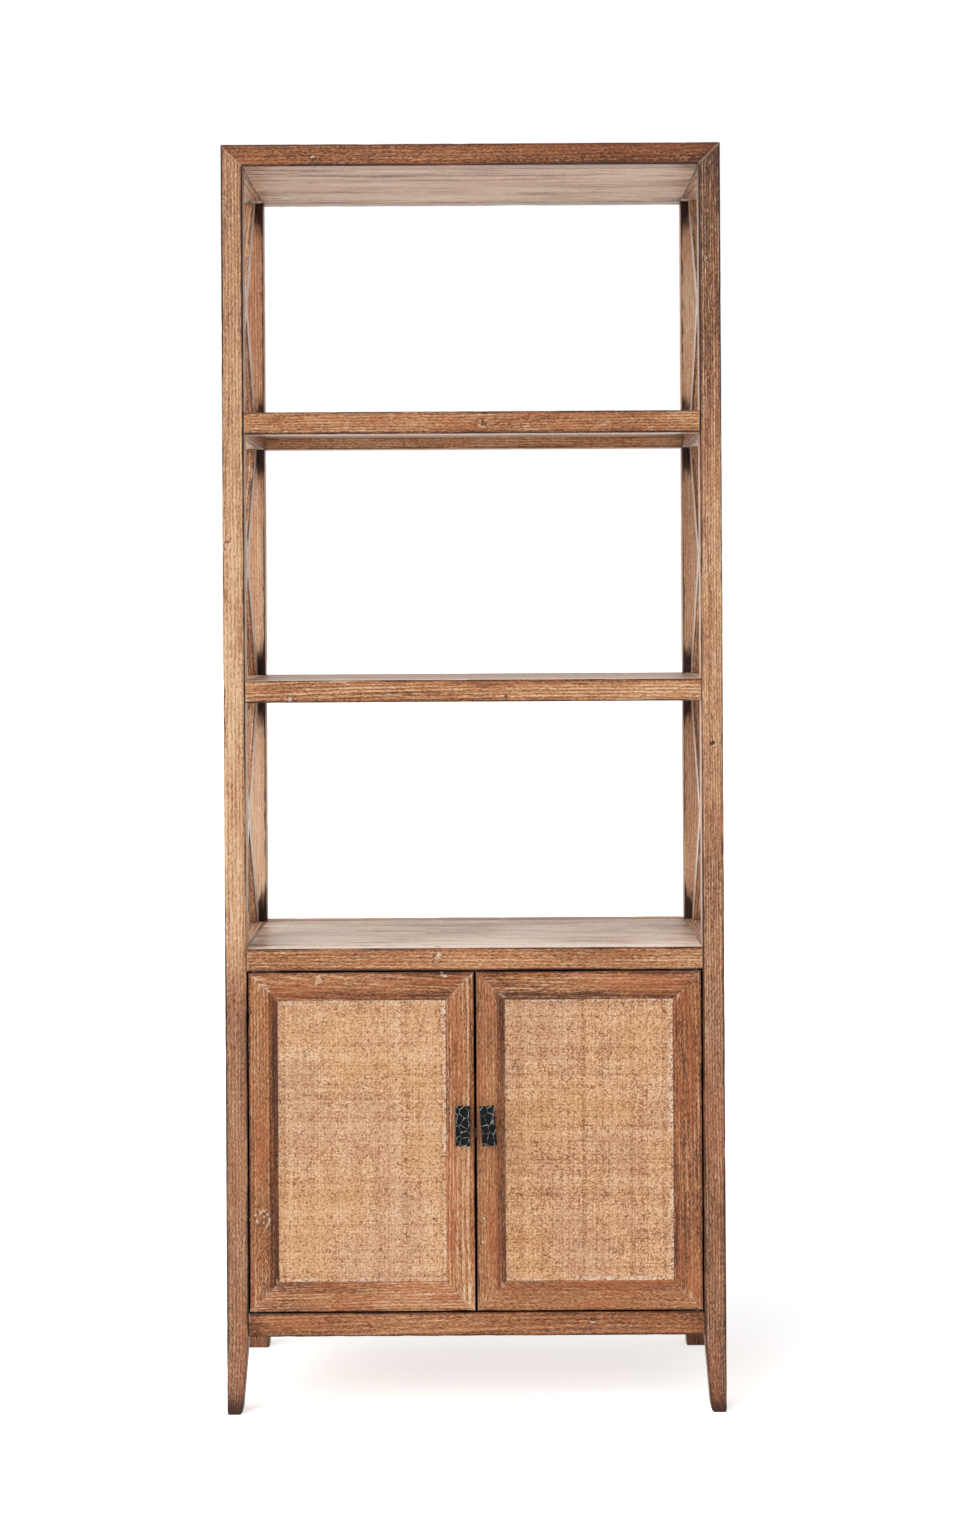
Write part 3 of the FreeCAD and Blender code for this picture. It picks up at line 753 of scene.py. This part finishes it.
# How pale each level is, how its ends darken with painted shade by the posts, and its finish
board_looks = {"top_boards": (0.48, ends_in_painted_shade, shelf_pine),
               "ceiling_boards": (0.81, ends_in_painted_shade, ceiling_pine),
               "upper_shelf_boards": (0.46, ends_in_painted_shade, shelf_pine),
               "lower_shelf_boards": (0.36, ends_in_painted_shade, shelf_pine),
               "cabinet_top_boards": (0.85, ends_in_deep_painted_shade, cabinet_board_pine)}
for number, (node, (tone, ends, finish)) in enumerate(board_looks.items()):
    planks = []
    for index, (low, high) in enumerate(separate_boxes(node)):
        y0 = max(low.y, inner_front)
        y1 = min(high.y, inner_rear)
        planks.append(stick(
            Vector((inner_left, y0, high.z)), ((1, 0, 0), (0, 1, 0), (0, 0, -1)),
            square_section(y1 - y0, high.z - low.z, plank_rounding),
            (lambda place: 0, lambda place: inner_right - inner_left), plank_seed + number * 4 + index,
            [(lies, tone + change) for lies, change in ends]))
    piece(node, planks, finish)

# Crossed slats
# Two thin slats of pine cross at each side of each open bay. They are halved over each other where
# they meet and cut to the corners of posts and rails. Their inner faces are painted pale, a painted
# reflection of the white surroundings.
slat_width = 0.028
slat_rounding = 0.0018
slat_inner_reflection = 0.6
slat_seed = 71
slat_pine = pine("brushed_slat_pine", post_stains, rough=0.42, gloss=0.4)


def half_lap(slope, angle, length, end):
    """Where the other slat's edge crosses this one."""
    cosine, sine = slope * math.cos(2 * angle), math.sin(2 * angle)
    return lambda place: length / 2 + (end * slat_width / 2 - place.x * cosine) / sine


def slat_end(slope, angle, pick):
    """Where a slat ends in a point against a post and a rail."""
    return lambda place: pick(slope * place.x * math.tan(angle), -slope * place.x / math.tan(angle))


def halved(slope, thickness):
    """The half of a slat's thickness that is left at the crossing: the rising one keeps the outer."""
    pick = min if slope > 0 else max
    return lambda place: Vector((place.x, pick(place.y, thickness / 2)))


# Painted reflection: the inner face of each slat is made pale
def pale_inner_reflection(thickness):
    return lambda lies, place: (0.0, slat_inner_reflection if place.y > thickness - on_face else 0.0)


slats = [(side, inward_x, bay, ending, slope) for bay in ("upper_bay", "middle_bay", "lower_bay")
         for side, inward_x in (("left", 1), ("right", -1))
         for ending, slope in (("_rising_brace", 1), ("_falling_brace", -1))]
for number, (side, inward_x, bay, ending, slope) in enumerate(slats):
    node = side + "_" + bay + ending
    low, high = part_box(node)
    run = Vector((0, high.y - low.y, slope * (high.z - low.z)))
    length = run.length
    angle = math.atan2(high.z - low.z, high.y - low.y)
    thickness = high.x - low.x
    origin = Vector((low.x if inward_x > 0 else high.x, low.y, low.z if slope > 0 else high.z))
    half = slat_width / 2
    corners = [Vector((-half, 0)), Vector((half, 0)), Vector((half, thickness)), Vector((-half, thickness))]
    along = run.normalized()
    across = Vector((0, -along.z, along.y))
    begin = slat_end(slope, angle, max)
    finish = slat_end(slope, angle, min)
    crossing = [half_lap(slope, angle, length, end) for end in (-1, 1)]
    made = stick(origin, (along, across, (inward_x, 0, 0)), section_points(corners, slat_rounding),
                 (begin, lambda place: length + finish(place)), slat_seed + number, ((0, 0.5),),
                 hub=Vector((0, 0)), touched=pale_inner_reflection(thickness),
                 lap=(*crossing, halved(slope, thickness)))
    piece(node, [made], slat_pine)

# Cabinet sides and the loose shelf
# Each side is three staves of pine, glued edge to edge and held in grooves. The shelf is one
# waxed board that lies loose on four pins.
stave_rounding = 0.0004
stave_seed = 91
shelf_rounding = 0.0016
shelf_seed = 99
stave_shares = (0.0, 0.36, 0.67, 1.0)
staves = []
for side, (low, high) in enumerate(sorted(separate_boxes("cabinet_side_panels"), key=lambda box: box[0].x)):
    for index, (from_share, to_share) in enumerate(zip(stave_shares, stave_shares[1:])):
        y0 = inner_front + from_share * (inner_rear - inner_front)
        y1 = inner_front + to_share * (inner_rear - inner_front)
        staves.append(stick(
            Vector((low.x, y0, opening_low)), ((0, 0, 1), (0, 1, 0), (1, 0, 0)),
            square_section(y1 - y0, high.x - low.x, stave_rounding),
            (lambda place: 0, lambda place: opening_high - opening_low), stave_seed + side * 3 + index,
            ((0, 0.48),)))
piece("cabinet_side_panels", staves, rail_pine)

low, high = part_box("inner_shelf")
shelf = stick(Vector((low.x, low.y, high.z)), ((1, 0, 0), (0, 1, 0), (0, 0, -1)),
              square_section(high.y - low.y, high.z - low.z, shelf_rounding),
              (lambda place: 0, lambda place: high.x - low.x), shelf_seed, ((0, 0.45),),
              seams=(False, False))
piece("inner_shelf", [shelf], shelf_pine)

# Cabinet back and floor
# Two sheets of plywood, stained brown and let into grooves of the frame. Their face veneer is
# rotary cut, so its figure is broad.
eased_width = 0.0006
eased_angle = 40


def dress(node, finish, width=eased_width):
    """Keeps a part's own shape, with its edges eased, and gives it a finish."""
    made = frame["nodes"][node]
    made.data.materials.clear()
    made.data.materials.append(finish)
    weld = made.modifiers.new("weld", "WELD")
    weld.merge_threshold = same_place
    bevel = made.modifiers.new("eased_edges", "BEVEL")
    bevel.width = width
    bevel.segments = 2
    bevel.limit_method = "ANGLE"
    bevel.angle_limit = math.radians(eased_angle)
    bevel.harden_normals = True


def veneer(name):
    start, shade = finish_from(name)
    place = start.node("TexCoord", {}, {}, "Object")
    layers = place.scaled(9.0, 9.0, 1.6).cloud(2.0) * 16.0
    bands = layers - layers.floor()
    pores = place.scaled(520.0, 520.0, 26.0).cloud(1.0)
    tone = place.scaled(3.0, 3.0, 3.0).cloud(2.0)
    wood = (bands * 0.6 + tone * 0.5).between(0.1, 1.0).tint(colour("#b78f68"), colour("#95694a"))
    wood = pores.between(0.56, 0.7).tint(wood, colour("#6f4b33"))
    bumped = pores.node("Bump", {}, {"Strength": 0.3, "Distance": 0.0004, "Height": pores})
    return shade(Base_Color=wood, Roughness=0.55 + (pores - 0.5) * 0.2, Normal=bumped)


stained_veneer = veneer("stained_veneer")
for node in ("cabinet_back", "cabinet_floor"):
    dress(node, stained_veneer)

# Shelf pins, pivot hinges and their screws
# Steel, plated and browned. The pins are pushed into the posts, and the leaves of the hinges are
# let into the rails and the ends of the doors and held by small screws.


def steel(name, pale, dull):
    start, shade = finish_from(name)
    place = start.node("TexCoord", {}, {}, "Object")
    mottle = place.node("TexNoise", {}, {"Vector": place, "Scale": 260.0, "Detail": 3.0})
    brushed = place.scaled(60.0, 2600.0, 900.0).cloud(1.0)
    metal = mottle.between(0.35, 0.68).tint(colour(pale), colour(dull))
    return shade(Base_Color=metal, Metallic=1.0, Roughness=0.3 + mottle * 0.25,
                 Normal=brushed.node("Bump", {}, {"Strength": 0.15, "Distance": 0.0003, "Height": brushed}))


hinge_steel = steel("hinge_steel", "#57504a", "#35302c")
screw_steel = steel("screw_steel", "#6b645c", "#46403a")
for node in ("shelf_pins", "frame_pivots", "left_door_pivots", "right_door_pivots"):
    dress(node, hinge_steel, 0.0003)
for node in ("frame_screws", "left_door_screws", "right_door_screws"):
    dress(node, screw_steel, 0.0002)

# Magnetic catches
# Two small housings of dark brown moulded plastic, screwed up under the rail above the doors.
# Each holds a magnet that draws its door shut.


def moulded(name, base):
    start, shade = finish_from(name)
    place = start.node("TexCoord", {}, {}, "Object")
    grainy = place.node("TexNoise", {}, {"Vector": place, "Scale": 1500.0, "Detail": 2.0})
    cloudy = place.node("TexNoise", {}, {"Vector": place, "Scale": 90.0, "Detail": 2.0})
    body = cloudy.between(0.3, 0.7).tint(colour(base), colour("#4a372a"))
    return shade(Base_Color=body, Roughness=0.45 + grainy * 0.2,
                 Normal=grainy.node("Bump", {}, {"Strength": 0.3, "Distance": 0.0002, "Height": grainy}))


dress("door_catches", moulded("catch_moulding", "#3c2b20"), 0.0008)

# Door frames
# Each door is two stiles and two rails of brushed pine, mitred and glued at the corners. A bevel
# falls from the flat face to a thin lip that holds the panel in its rebate.
door_flat = 0.038
door_frame_width = 0.052
door_quirk = 0.001
door_quirk_width = 0.0002
door_bevel_depth = 0.007
door_lip_depth = 0.0085
door_rebate = 0.008
door_roundings = (0.0022, 0.0003, 0.0002, 0.0006, 0.0003, 0.0002, 0.0004, 0.0012)
door_knots = ((104, True, 0.127, 0.0148, 0, 0.0060, "#d0a582"),
              (104, True, 0.352, 0.004, 0, 0.0046, "#3a2218"),
              (101, False, 0.170, 0.023, 0, 0.0085, "#a56f50"),
              (105, False, 0.167, 0.011, 0, 0.0028, "#e0c0a0"),
              (105, False, 0.124, 0.011, 0, 0.0028, "#e0c0a0"))
door_pine = pine("brushed_door_pine", rail_stains, knots=door_knots, broad_share=0.7, torn_share=1.5,
                 glazed=0.5, jointed=0.3, scuffed=0.6, redness=0.35)


def door_section(thickness):
    inner_lip = door_frame_width - door_rebate
    outline = [(0, 0), (door_flat, 0), (door_flat + door_quirk_width, door_quirk),
               (door_frame_width, door_bevel_depth), (door_frame_width, door_lip_depth),
               (inner_lip, door_lip_depth), (inner_lip, thickness), (0, thickness)]
    points = section_points([Vector(corner) for corner in outline], door_roundings)
    return [(place, outward, max(rim, place.x)) for place, outward, rim in points]


def from_edge(place):
    return place.x


door_side = 0.0002
door_side_depth = 0.002
bevel_glaze_start = 0.033
bevel_glaze_width = 0.009
edge_glaze_width = 0.009
gap_side_shade = 0.9


def door_coat(bevel, edge):
    """A darker bevel, which starts softly on the flat, a darker outer edge, and painted shade all over the
    outer side faces, which stand in the gaps.
    """
    def touched(lies, place):
        # Painted shade: the outer side faces of the door lie in the gaps
        if place.x < door_side and place.y > door_side_depth:
            return 0.0, -gap_side_shade
        if place.y > door_lip_depth:
            return 0.0, 0.0
        on_bevel = min(1.0, max(0.0, place.x - bevel_glaze_start) / bevel_glaze_width)
        return -bevel * on_bevel - edge * max(0.0, 1 - place.x / edge_glaze_width), 0.0
    return touched


# How dark the bevel and the edge are, how strongly the grain shows, and the tones
stile_looks = {
    "left": ((0.36, 0.30, 0.50, ((0, 0.38), (0.2, 0.37), (0.35, 0.39), (0.6, 0.40))),
             (0.22, 0.45, 0.86, ((0, 0.64), (0.15, 0.57), (0.3, 0.59), (0.45, 0.55), (0.6, 0.57)))),
    "right": ((0.20, 0.15, 0.50, ((0, 0.54), (0.12, 0.39), (0.3, 0.47), (0.5, 0.41), (0.6, 0.41))),
              (0.12, 0.05, 0.74, ((0, 0.37), (0.3, 0.32), (0.6, 0.28))))}
crosspiece_looks = {
    "left": ((0.18, 0.10, 0.78, ((0, 0.44), (0.2, 0.48), (0.27, 0.58), (0.4, 0.54))),
             (0.17, 0.35, 0.74, ((0, 0.44), (0.12, 0.50), (0.3, 0.43), (0.4, 0.38)))),
    "right": ((0.18, 0.10, 0.30, ((0, 0.46), (0.4, 0.38))),
              (0.18, 0.40, 0.82, ((0, 0.31), (0.1, 0.36), (0.4, 0.31))))}
flat_sawn = ("left", 1)
door_seed = 101

for number, side in enumerate(("left", "right")):
    low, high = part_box(side + "_door_stiles")
    section = door_section(high.y - low.y)
    stiles = []
    crosspieces = []
    for index, (x, inward) in enumerate(((low.x, 1), (high.x, -1))):
        bevel, edge, grain, tones = stile_looks[side][index]
        stiles.append(stick(
            Vector((x, low.y, low.z)), ((0, 0, 1), (inward, 0, 0), (0, 1, 0)), section,
            (from_edge, lambda place: high.z - low.z - place.x), door_seed + number * 4 + index,
            tones, touched=door_coat(bevel, edge), lively=((0, grain),)))
    for index, (z, inward) in enumerate(((low.z, 1), (high.z, -1))):
        bevel, edge, grain, tones = crosspiece_looks[side][index]
        crosspieces.append(stick(
            Vector((low.x, low.y, z)), ((1, 0, 0), (0, 0, inward), (0, 1, 0)), section,
            (from_edge, lambda place: high.x - low.x - place.x), door_seed + number * 4 + 2 + index,
            tones, flat=(side, index) == flat_sawn, touched=door_coat(bevel, edge), lively=((0, grain),)))
    piece(side + "_door_stiles", stiles, door_pine)
    piece(side + "_door_rails", crosspieces, door_pine)

# Woven panels
# A plain weave of split natural fibre, stretched over a thin plywood backing that fills the rebate
# and glued down round its edge. Traces of the glue and of paste show pale there; as painted light,
# they are fainter on the shaded left and upper edges than on the lit right and lower ones.
strand_pitch = 0.0026
strand_sway = 0.22
weave_relief = 0.0007
weave_seed = 7.3
panel_shift = 31.7
crown_lift = 0.85
flank_lift = 0.45
gap_lift = 0.05
rim_lift = 0.3
gap_shade_tone = -0.3
# Painted light: the pale edge band is narrower on the left and upper edges, which lie in shade
less_glue_left_in_shade = 0.004
less_glue_above_in_shade = 0.002
panel_tones = {"left": 0.03, "right": -0.045}


def woven_fibre(name):
    start, shade = finish_from(name)
    strand = start.node("Attribute", {"attribute_name": "strand"}, {}, "Fac")
    height_mark = start.node("Attribute", {"attribute_name": "raised"}, {}, "Fac")
    border = start.node("Attribute", {"attribute_name": "border"}, {}, "Fac")
    place = start.node("TexCoord", {}, {}, "Object")
    blotch = place.scaled(22.0, 22.0, 34.0).cloud(2.0) - 0.5
    fine = place.scaled(950.0, 950.0, 950.0).cloud(1.0)
    speck = place.scaled(260.0, 260.0, 300.0).cloud(1.0)
    fibre = strand + blotch * 0.35 + (fine - 0.5) * 0.5 + (speck - 0.5) * 1.3
    shown = fibre.among("#7d4c31", "#c08a60", "#dfae85", "#eec8a2", "#f8e4c9")
    broad = place.scaled(9.0, 9.0, 7.0).cloud(1.0)
    shown = (broad.between(0.48, 0.62) * 0.24).tint(shown, colour("#c99b84"))
    shown = (broad.between(0.52, 0.36) * 0.26).tint(shown, colour("#dca466"))
    shown = (speck.between(0.36, 0.24) * 0.8).tint(shown, colour("#75472c"))
    clustered = place.scaled(150.0, 150.0, 120.0).cloud(1.0).between(0.62, 0.72)
    shown = (clustered * speck.between(0.66, 0.44) * 0.8).tint(shown, colour("#7d4f33"))
    # Painted shade: the weave is darker where it lies low, between the strands
    shown = (height_mark.between(0.35, 0.0) * 0.7).tint(shown, colour("#8a5a38"))
    frayed = place.scaled(30.0, 30.0, 16.0).cloud(1.0).between(0.40, 0.60)
    glue = (border + blotch * 0.012).between(0.0080, 0.0010) * speck.between(0.42, 0.56)
    shown = (glue * (0.2 + frayed * 0.7)).tint(shown, colour("#efe2d0"))
    bumped = fine.node("Bump", {}, {"Strength": 0.4, "Distance": 0.0004, "Height": fine})
    return shade(Base_Color=shown, Roughness=0.72 + (fine - 0.5) * 0.2, Normal=bumped)


panel_fibre = woven_fibre("panel_fibre")


def strand_tones(count, single, darker, every, broad, shift):
    """How pale each strand is: one by one, two darker ones now and then, and in broad stripes."""
    tones = []
    for index in range(count):
        alone = noise.noise(Vector((index * single[0], *single[1:])) + shift)
        stripe = noise.noise(Vector((index * broad[0], *broad[1:])) + shift)
        tones.append(alone * 0.50 - darker * (index % every < 2) + stripe * 0.36)
    return tones


def border_of(rows, columns):
    """The points round a grid of them, in order, starting along its first row."""
    width = columns + 1
    around = list(range(width))
    around += [row * width + columns for row in range(1, rows + 1)]
    around += [rows * width + column for column in range(columns - 1, -1, -1)]
    return around + [row * width for row in range(rows - 1, 0, -1)]


for number, side in enumerate(("left", "right")):
    low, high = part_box(side + "_woven_panel")
    columns = round((high.x - low.x) / strand_pitch) * 2
    rows = round((high.z - low.z) / strand_pitch) * 2
    step_x = (high.x - low.x) / columns
    step_z = (high.z - low.z) / rows
    shift = Vector((number * panel_shift, 0, 0))
    warp_tones = strand_tones(columns + 1, (0.61, 4.2, 1.1), 0.11, 14, (0.11, 6.2, 2.1), shift)
    weft_tones = strand_tones(rows + 1, (0.53, 9.7, 3.3), 0.09, 12, (0.10, 2.7, 5.3), shift)
    hidden_edge = door_frame_width - (low.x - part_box(side + "_door_stiles")[0].x)
    points = []
    strand = []
    raised = []
    border = []
    for row in range(rows + 1):
        for column in range(columns + 1):
            on_warp = column % 2 == 1
            on_weft = row % 2 == 1
            crossing = ((column - 1) // 2 + (row - 1) // 2) % 2
            inside = 0 < column < columns and 0 < row < rows
            x = low.x + column * step_x
            z = low.z + row * step_z
            jitter = noise.noise(Vector((column * 0.9, row * 0.9, weave_seed)) + shift)
            if on_warp and on_weft:
                lift = crown_lift + 0.3 * jitter
                tone = warp_tones[column] if crossing else weft_tones[row]
            elif on_warp or on_weft:
                lift = flank_lift + 0.3 * jitter
                tone = (warp_tones[column] + weft_tones[row]) / 2
                sway = strand_sway if crossing else -strand_sway
                if inside and on_weft:
                    x += step_x * sway
                elif inside:
                    z -= step_z * sway
            else:
                # Painted shade: the gaps between strands get a darker tone
                lift = gap_lift + 0.1 * jitter
                tone = gap_shade_tone
            lift = lift if inside else rim_lift
            points.append(Vector((x, low.y + weave_relief * (1 - min(1.0, max(0.0, lift))), z)))
            strand.append(0.5 + tone + jitter * 0.52 + panel_tones[side])
            raised.append(lift)
            edge_away = min(x - low.x + less_glue_left_in_shade, high.x - x, z - low.z, high.z - z + less_glue_above_in_shade)
            border.append(edge_away - hidden_edge)
    width = columns + 1
    faces = [(row * width + column, row * width + column + 1, (row + 1) * width + column + 1,
              (row + 1) * width + column) for row in range(rows) for column in range(columns)]
    around = border_of(rows, columns)
    behind = len(points)
    for index in around:
        points.append(Vector((points[index].x, high.y, points[index].z)))
        strand.append(0.4)
        raised.append(0.5)
        border.append(0.0)
    for index, corner in enumerate(around):
        following = (index + 1) % len(around)
        faces.append((corner, around[following], behind + following, behind + index))
    faces.append(tuple(range(behind, len(points))))
    weave = shaped(side + "_panel_weave", side + "_woven_panel", points, faces,
                   {"strand": strand, "raised": raised, "border": border}, panel_fibre, crease=70)
    dress(side + "_panel_backing", stained_veneer)

# Pulls
# Bowed plates of hammered iron, blackened and waxed, each on a round stud bolted through the
# stile. The hammer's dishes meet in ridges that are rubbed bright. The right pull leans a little.
pull_size = Vector((0.027, 0.004, 0.0725))
pull_bow = 0.005
pull_lean = {"left": 0.0, "right": -4.0}
pull_centre = 0.520
pull_shift = {"left": 3.1, "right": 8.6}
pull_radius = ((pull_size.z / 2) ** 2 + pull_bow ** 2) / (2 * pull_bow)
pull_step = 0.0005
pull_wobble = 0.0005
pull_rim_rounding = 0.0009
pull_rim_width = 0.0012
dish_pitch = 0.0125
dish_depth = 0.0007
dish_stretch = 0.8
dish_reach = 0.55
ridge_reach = 0.15


def iron(name):
    start, shade = finish_from(name)
    place = start.node("TexCoord", {}, {}, "Object")
    ridge = start.node("Attribute", {"attribute_name": "ridge"}, {}, "Fac")
    rough = place.scaled(520.0, 520.0, 520.0).cloud(3.0) - 0.5
    rubbed = place.scaled(150.0, 150.0, 150.0).cloud(1.0).between(0.42, 0.6)
    bright = (ridge + rough * 0.3).between(0.50, 0.80) * (0.2 + 0.7 * rubbed)
    rust = place.scaled(110.0, 110.0, 110.0).cloud(2.0).between(0.56, 0.70) * 0.5
    metal = (rough + 0.5).between(0.3, 0.7).tint(colour("#0d0e0f"), colour("#1b1d1f"))
    metal = (rust * 0.6).tint(metal, colour("#3a1d16"))
    metal = bright.tint(metal, colour("#cbcdcb"))
    bumped = rough.node("Bump", {}, {"Strength": 0.5, "Distance": 0.0005, "Height": rough})
    return shade(Base_Color=metal, Metallic=0.35 + bright * 0.5, Roughness=0.5 - bright * 0.15 + rough * 0.2,
                 Normal=bumped, Specular_IOR_Level=0.1)


blackened_iron = iron("blackened_iron")


def hammered(x, z, shift):
    """How deep a hammer's dish is at a place of the plate, and how close its ridge runs."""
    warped = Vector((x, z, shift)) / dish_pitch
    distances = noise.voronoi(Vector((warped.x, warped.y * dish_stretch, shift)))[0]
    gap = min(1.0, (distances[1] - distances[0]) / dish_reach)
    return dish_depth * gap * (2 - gap), max(0.0, 1 - gap / ridge_reach)


columns = round(pull_size.x / pull_step)
rows = round(pull_size.z / pull_step)
for side, shift in pull_shift.items():
    stud_low, stud_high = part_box(side + "_pull_fixing")
    pull_place = ((stud_low.x + stud_high.x) / 2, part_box(side + "_pull")[0].y, pull_centre)
    hung = Matrix.Translation(pull_place) @ Matrix.Rotation(math.radians(pull_lean[side]), 4, "Y")
    points = []
    ridges = []
    for face in ("front", "back"):
        for row in range(rows + 1):
            for column in range(columns + 1):
                u = column / columns * 2 - 1
                v = row / rows * 2 - 1
                wobble = pull_wobble * (1 + noise.noise(Vector((u * 1.3, v * 4.0, shift + 5)))) / 2
                x = u * (pull_size.x / 2 - wobble * abs(u) ** 3)
                z = v * (pull_size.z / 2 - wobble * abs(v) ** 9)
                dish, ridge = hammered(x, z, shift)
                rim = min(pull_size.x / 2 - abs(x), pull_size.z / 2 - abs(z))
                rounded = pull_rim_rounding * max(0.0, 1 - rim / pull_rim_width) ** 2
                y = pull_radius - math.sqrt(pull_radius ** 2 - z ** 2)
                y += dish + rounded if face == "front" else pull_size.y - rounded
                points.append(hung @ Vector((x, y, z)))
                ridges.append(ridge if face == "front" else 0.0)
    width = columns + 1
    back = len(points) // 2
    faces = []
    for row in range(rows):
        for column in range(columns):
            corner = row * width + column
            quad = (corner, corner + 1, corner + width + 1, corner + width)
            faces.extend((quad, tuple(index + back for index in reversed(quad))))
    around = border_of(rows, columns)
    for corner, following in zip(around, around[1:] + around[:1]):
        faces.append((following, corner, corner + back, following + back))
    shaped(side + "_hammered_pull", side + "_pull", points, faces, {"ridge": ridges}, blackened_iron,
           crease=55)
    dress(side + "_pull_fixing", blackened_iron)

# Floor, light and camera
# A pale floor that keeps the shadow, a white surround, a soft key light from the upper left and
# a camera that stands square to the front, a little over half the height up.
floor_pale = colour("#f6f6f6")
floor_size = 60.0
seen_light = 0.62
sky_light = 0.38
start, shade = finish_from("pale_floor")
ray = start.node("LightPath", {}, {}, "Is Camera Ray")
glossy = start.node("LightPath", {}, {}, "Is Glossy Ray")
seen = start.math("MAXIMUM", ray, glossy)
surface = start.node("BsdfDiffuse", {}, {"Color": floor_pale})
glow = start.node("Emission", {}, {"Color": (1, 1, 1, 1), "Strength": seen * seen_light})
both = start.node("AddShader", {}, {0: surface, 1: glow})
start.node("OutputMaterial", {}, {"Surface": both})
ground = bpy.data.meshes.new("studio_floor")
ground.from_pydata([(-floor_size, -floor_size, 0), (floor_size, -floor_size, 0),
                    (floor_size, floor_size, 0), (-floor_size, floor_size, 0)], [], [(0, 1, 2, 3)])
ground.materials.append(bpy.data.materials["pale_floor"])
studio_floor = bpy.data.objects.new("studio_floor", ground)
bpy.context.scene.collection.objects.link(studio_floor)

world = bpy.data.worlds.new("studio")
bpy.context.scene.world = world
world.use_nodes = True
world.node_tree.nodes.clear()
sky = Link(world.node_tree)
seen = sky.node("LightPath", {}, {}, "Is Camera Ray")
seen = seen.math("MAXIMUM", seen, sky.node("LightPath", {}, {}, "Is Glossy Ray"))
seen = seen.math("MAXIMUM", seen, sky.node("LightPath", {}, {}, "Is Transmission Ray"))
background = sky.node("Background", {}, {"Color": (1, 1, 1, 1), "Strength": sky_light + seen * seen_light})
sky.node("OutputWorld", {}, {"Surface": background})

key_azimuth, key_elevation = math.radians(-50), math.radians(38)
key_softness = math.radians(60)
key_lamp = bpy.data.lights.new("key_light", "SUN")
key_lamp.energy = 2.5
key_lamp.angle = key_softness
key_lamp.color = (1.0, 0.985, 0.96)
key_light = bpy.data.objects.new("key_light", key_lamp)
shines_from = Vector((math.sin(key_azimuth) * math.cos(key_elevation),
                      -math.cos(key_azimuth) * math.cos(key_elevation), math.sin(key_elevation)))
key_light.rotation_euler = shines_from.to_track_quat("Z", "Y").to_euler()
bpy.context.scene.collection.objects.link(key_light)

camera_distance = 4.0
image_size = (975, 1536)
principal_row = 612
millimetres_per_pixel = 1.7990
camera_height = 1.442
camera_x = 0.0266
sensor = 36.0
lens = bpy.data.cameras.new("view")
lens.sensor_width = sensor
lens.lens = camera_distance * 1000 / millimetres_per_pixel * sensor / image_size[1]
lens.shift_y = (principal_row - image_size[1] / 2) / image_size[1]
lens.clip_end = 200
camera = bpy.data.objects.new("view", lens)
camera.location = (camera_x, front - camera_distance, camera_height)
camera_roll = math.radians(-0.32)
camera.matrix_world = (Matrix.Translation(camera.location) @ Matrix.Rotation(math.radians(90), 4, "X")
                       @ Matrix.Rotation(camera_roll, 4, "Z"))
bpy.context.scene.collection.objects.link(camera)
bpy.context.scene.camera = camera
bpy.context.scene.view_settings.view_transform = "Standard"
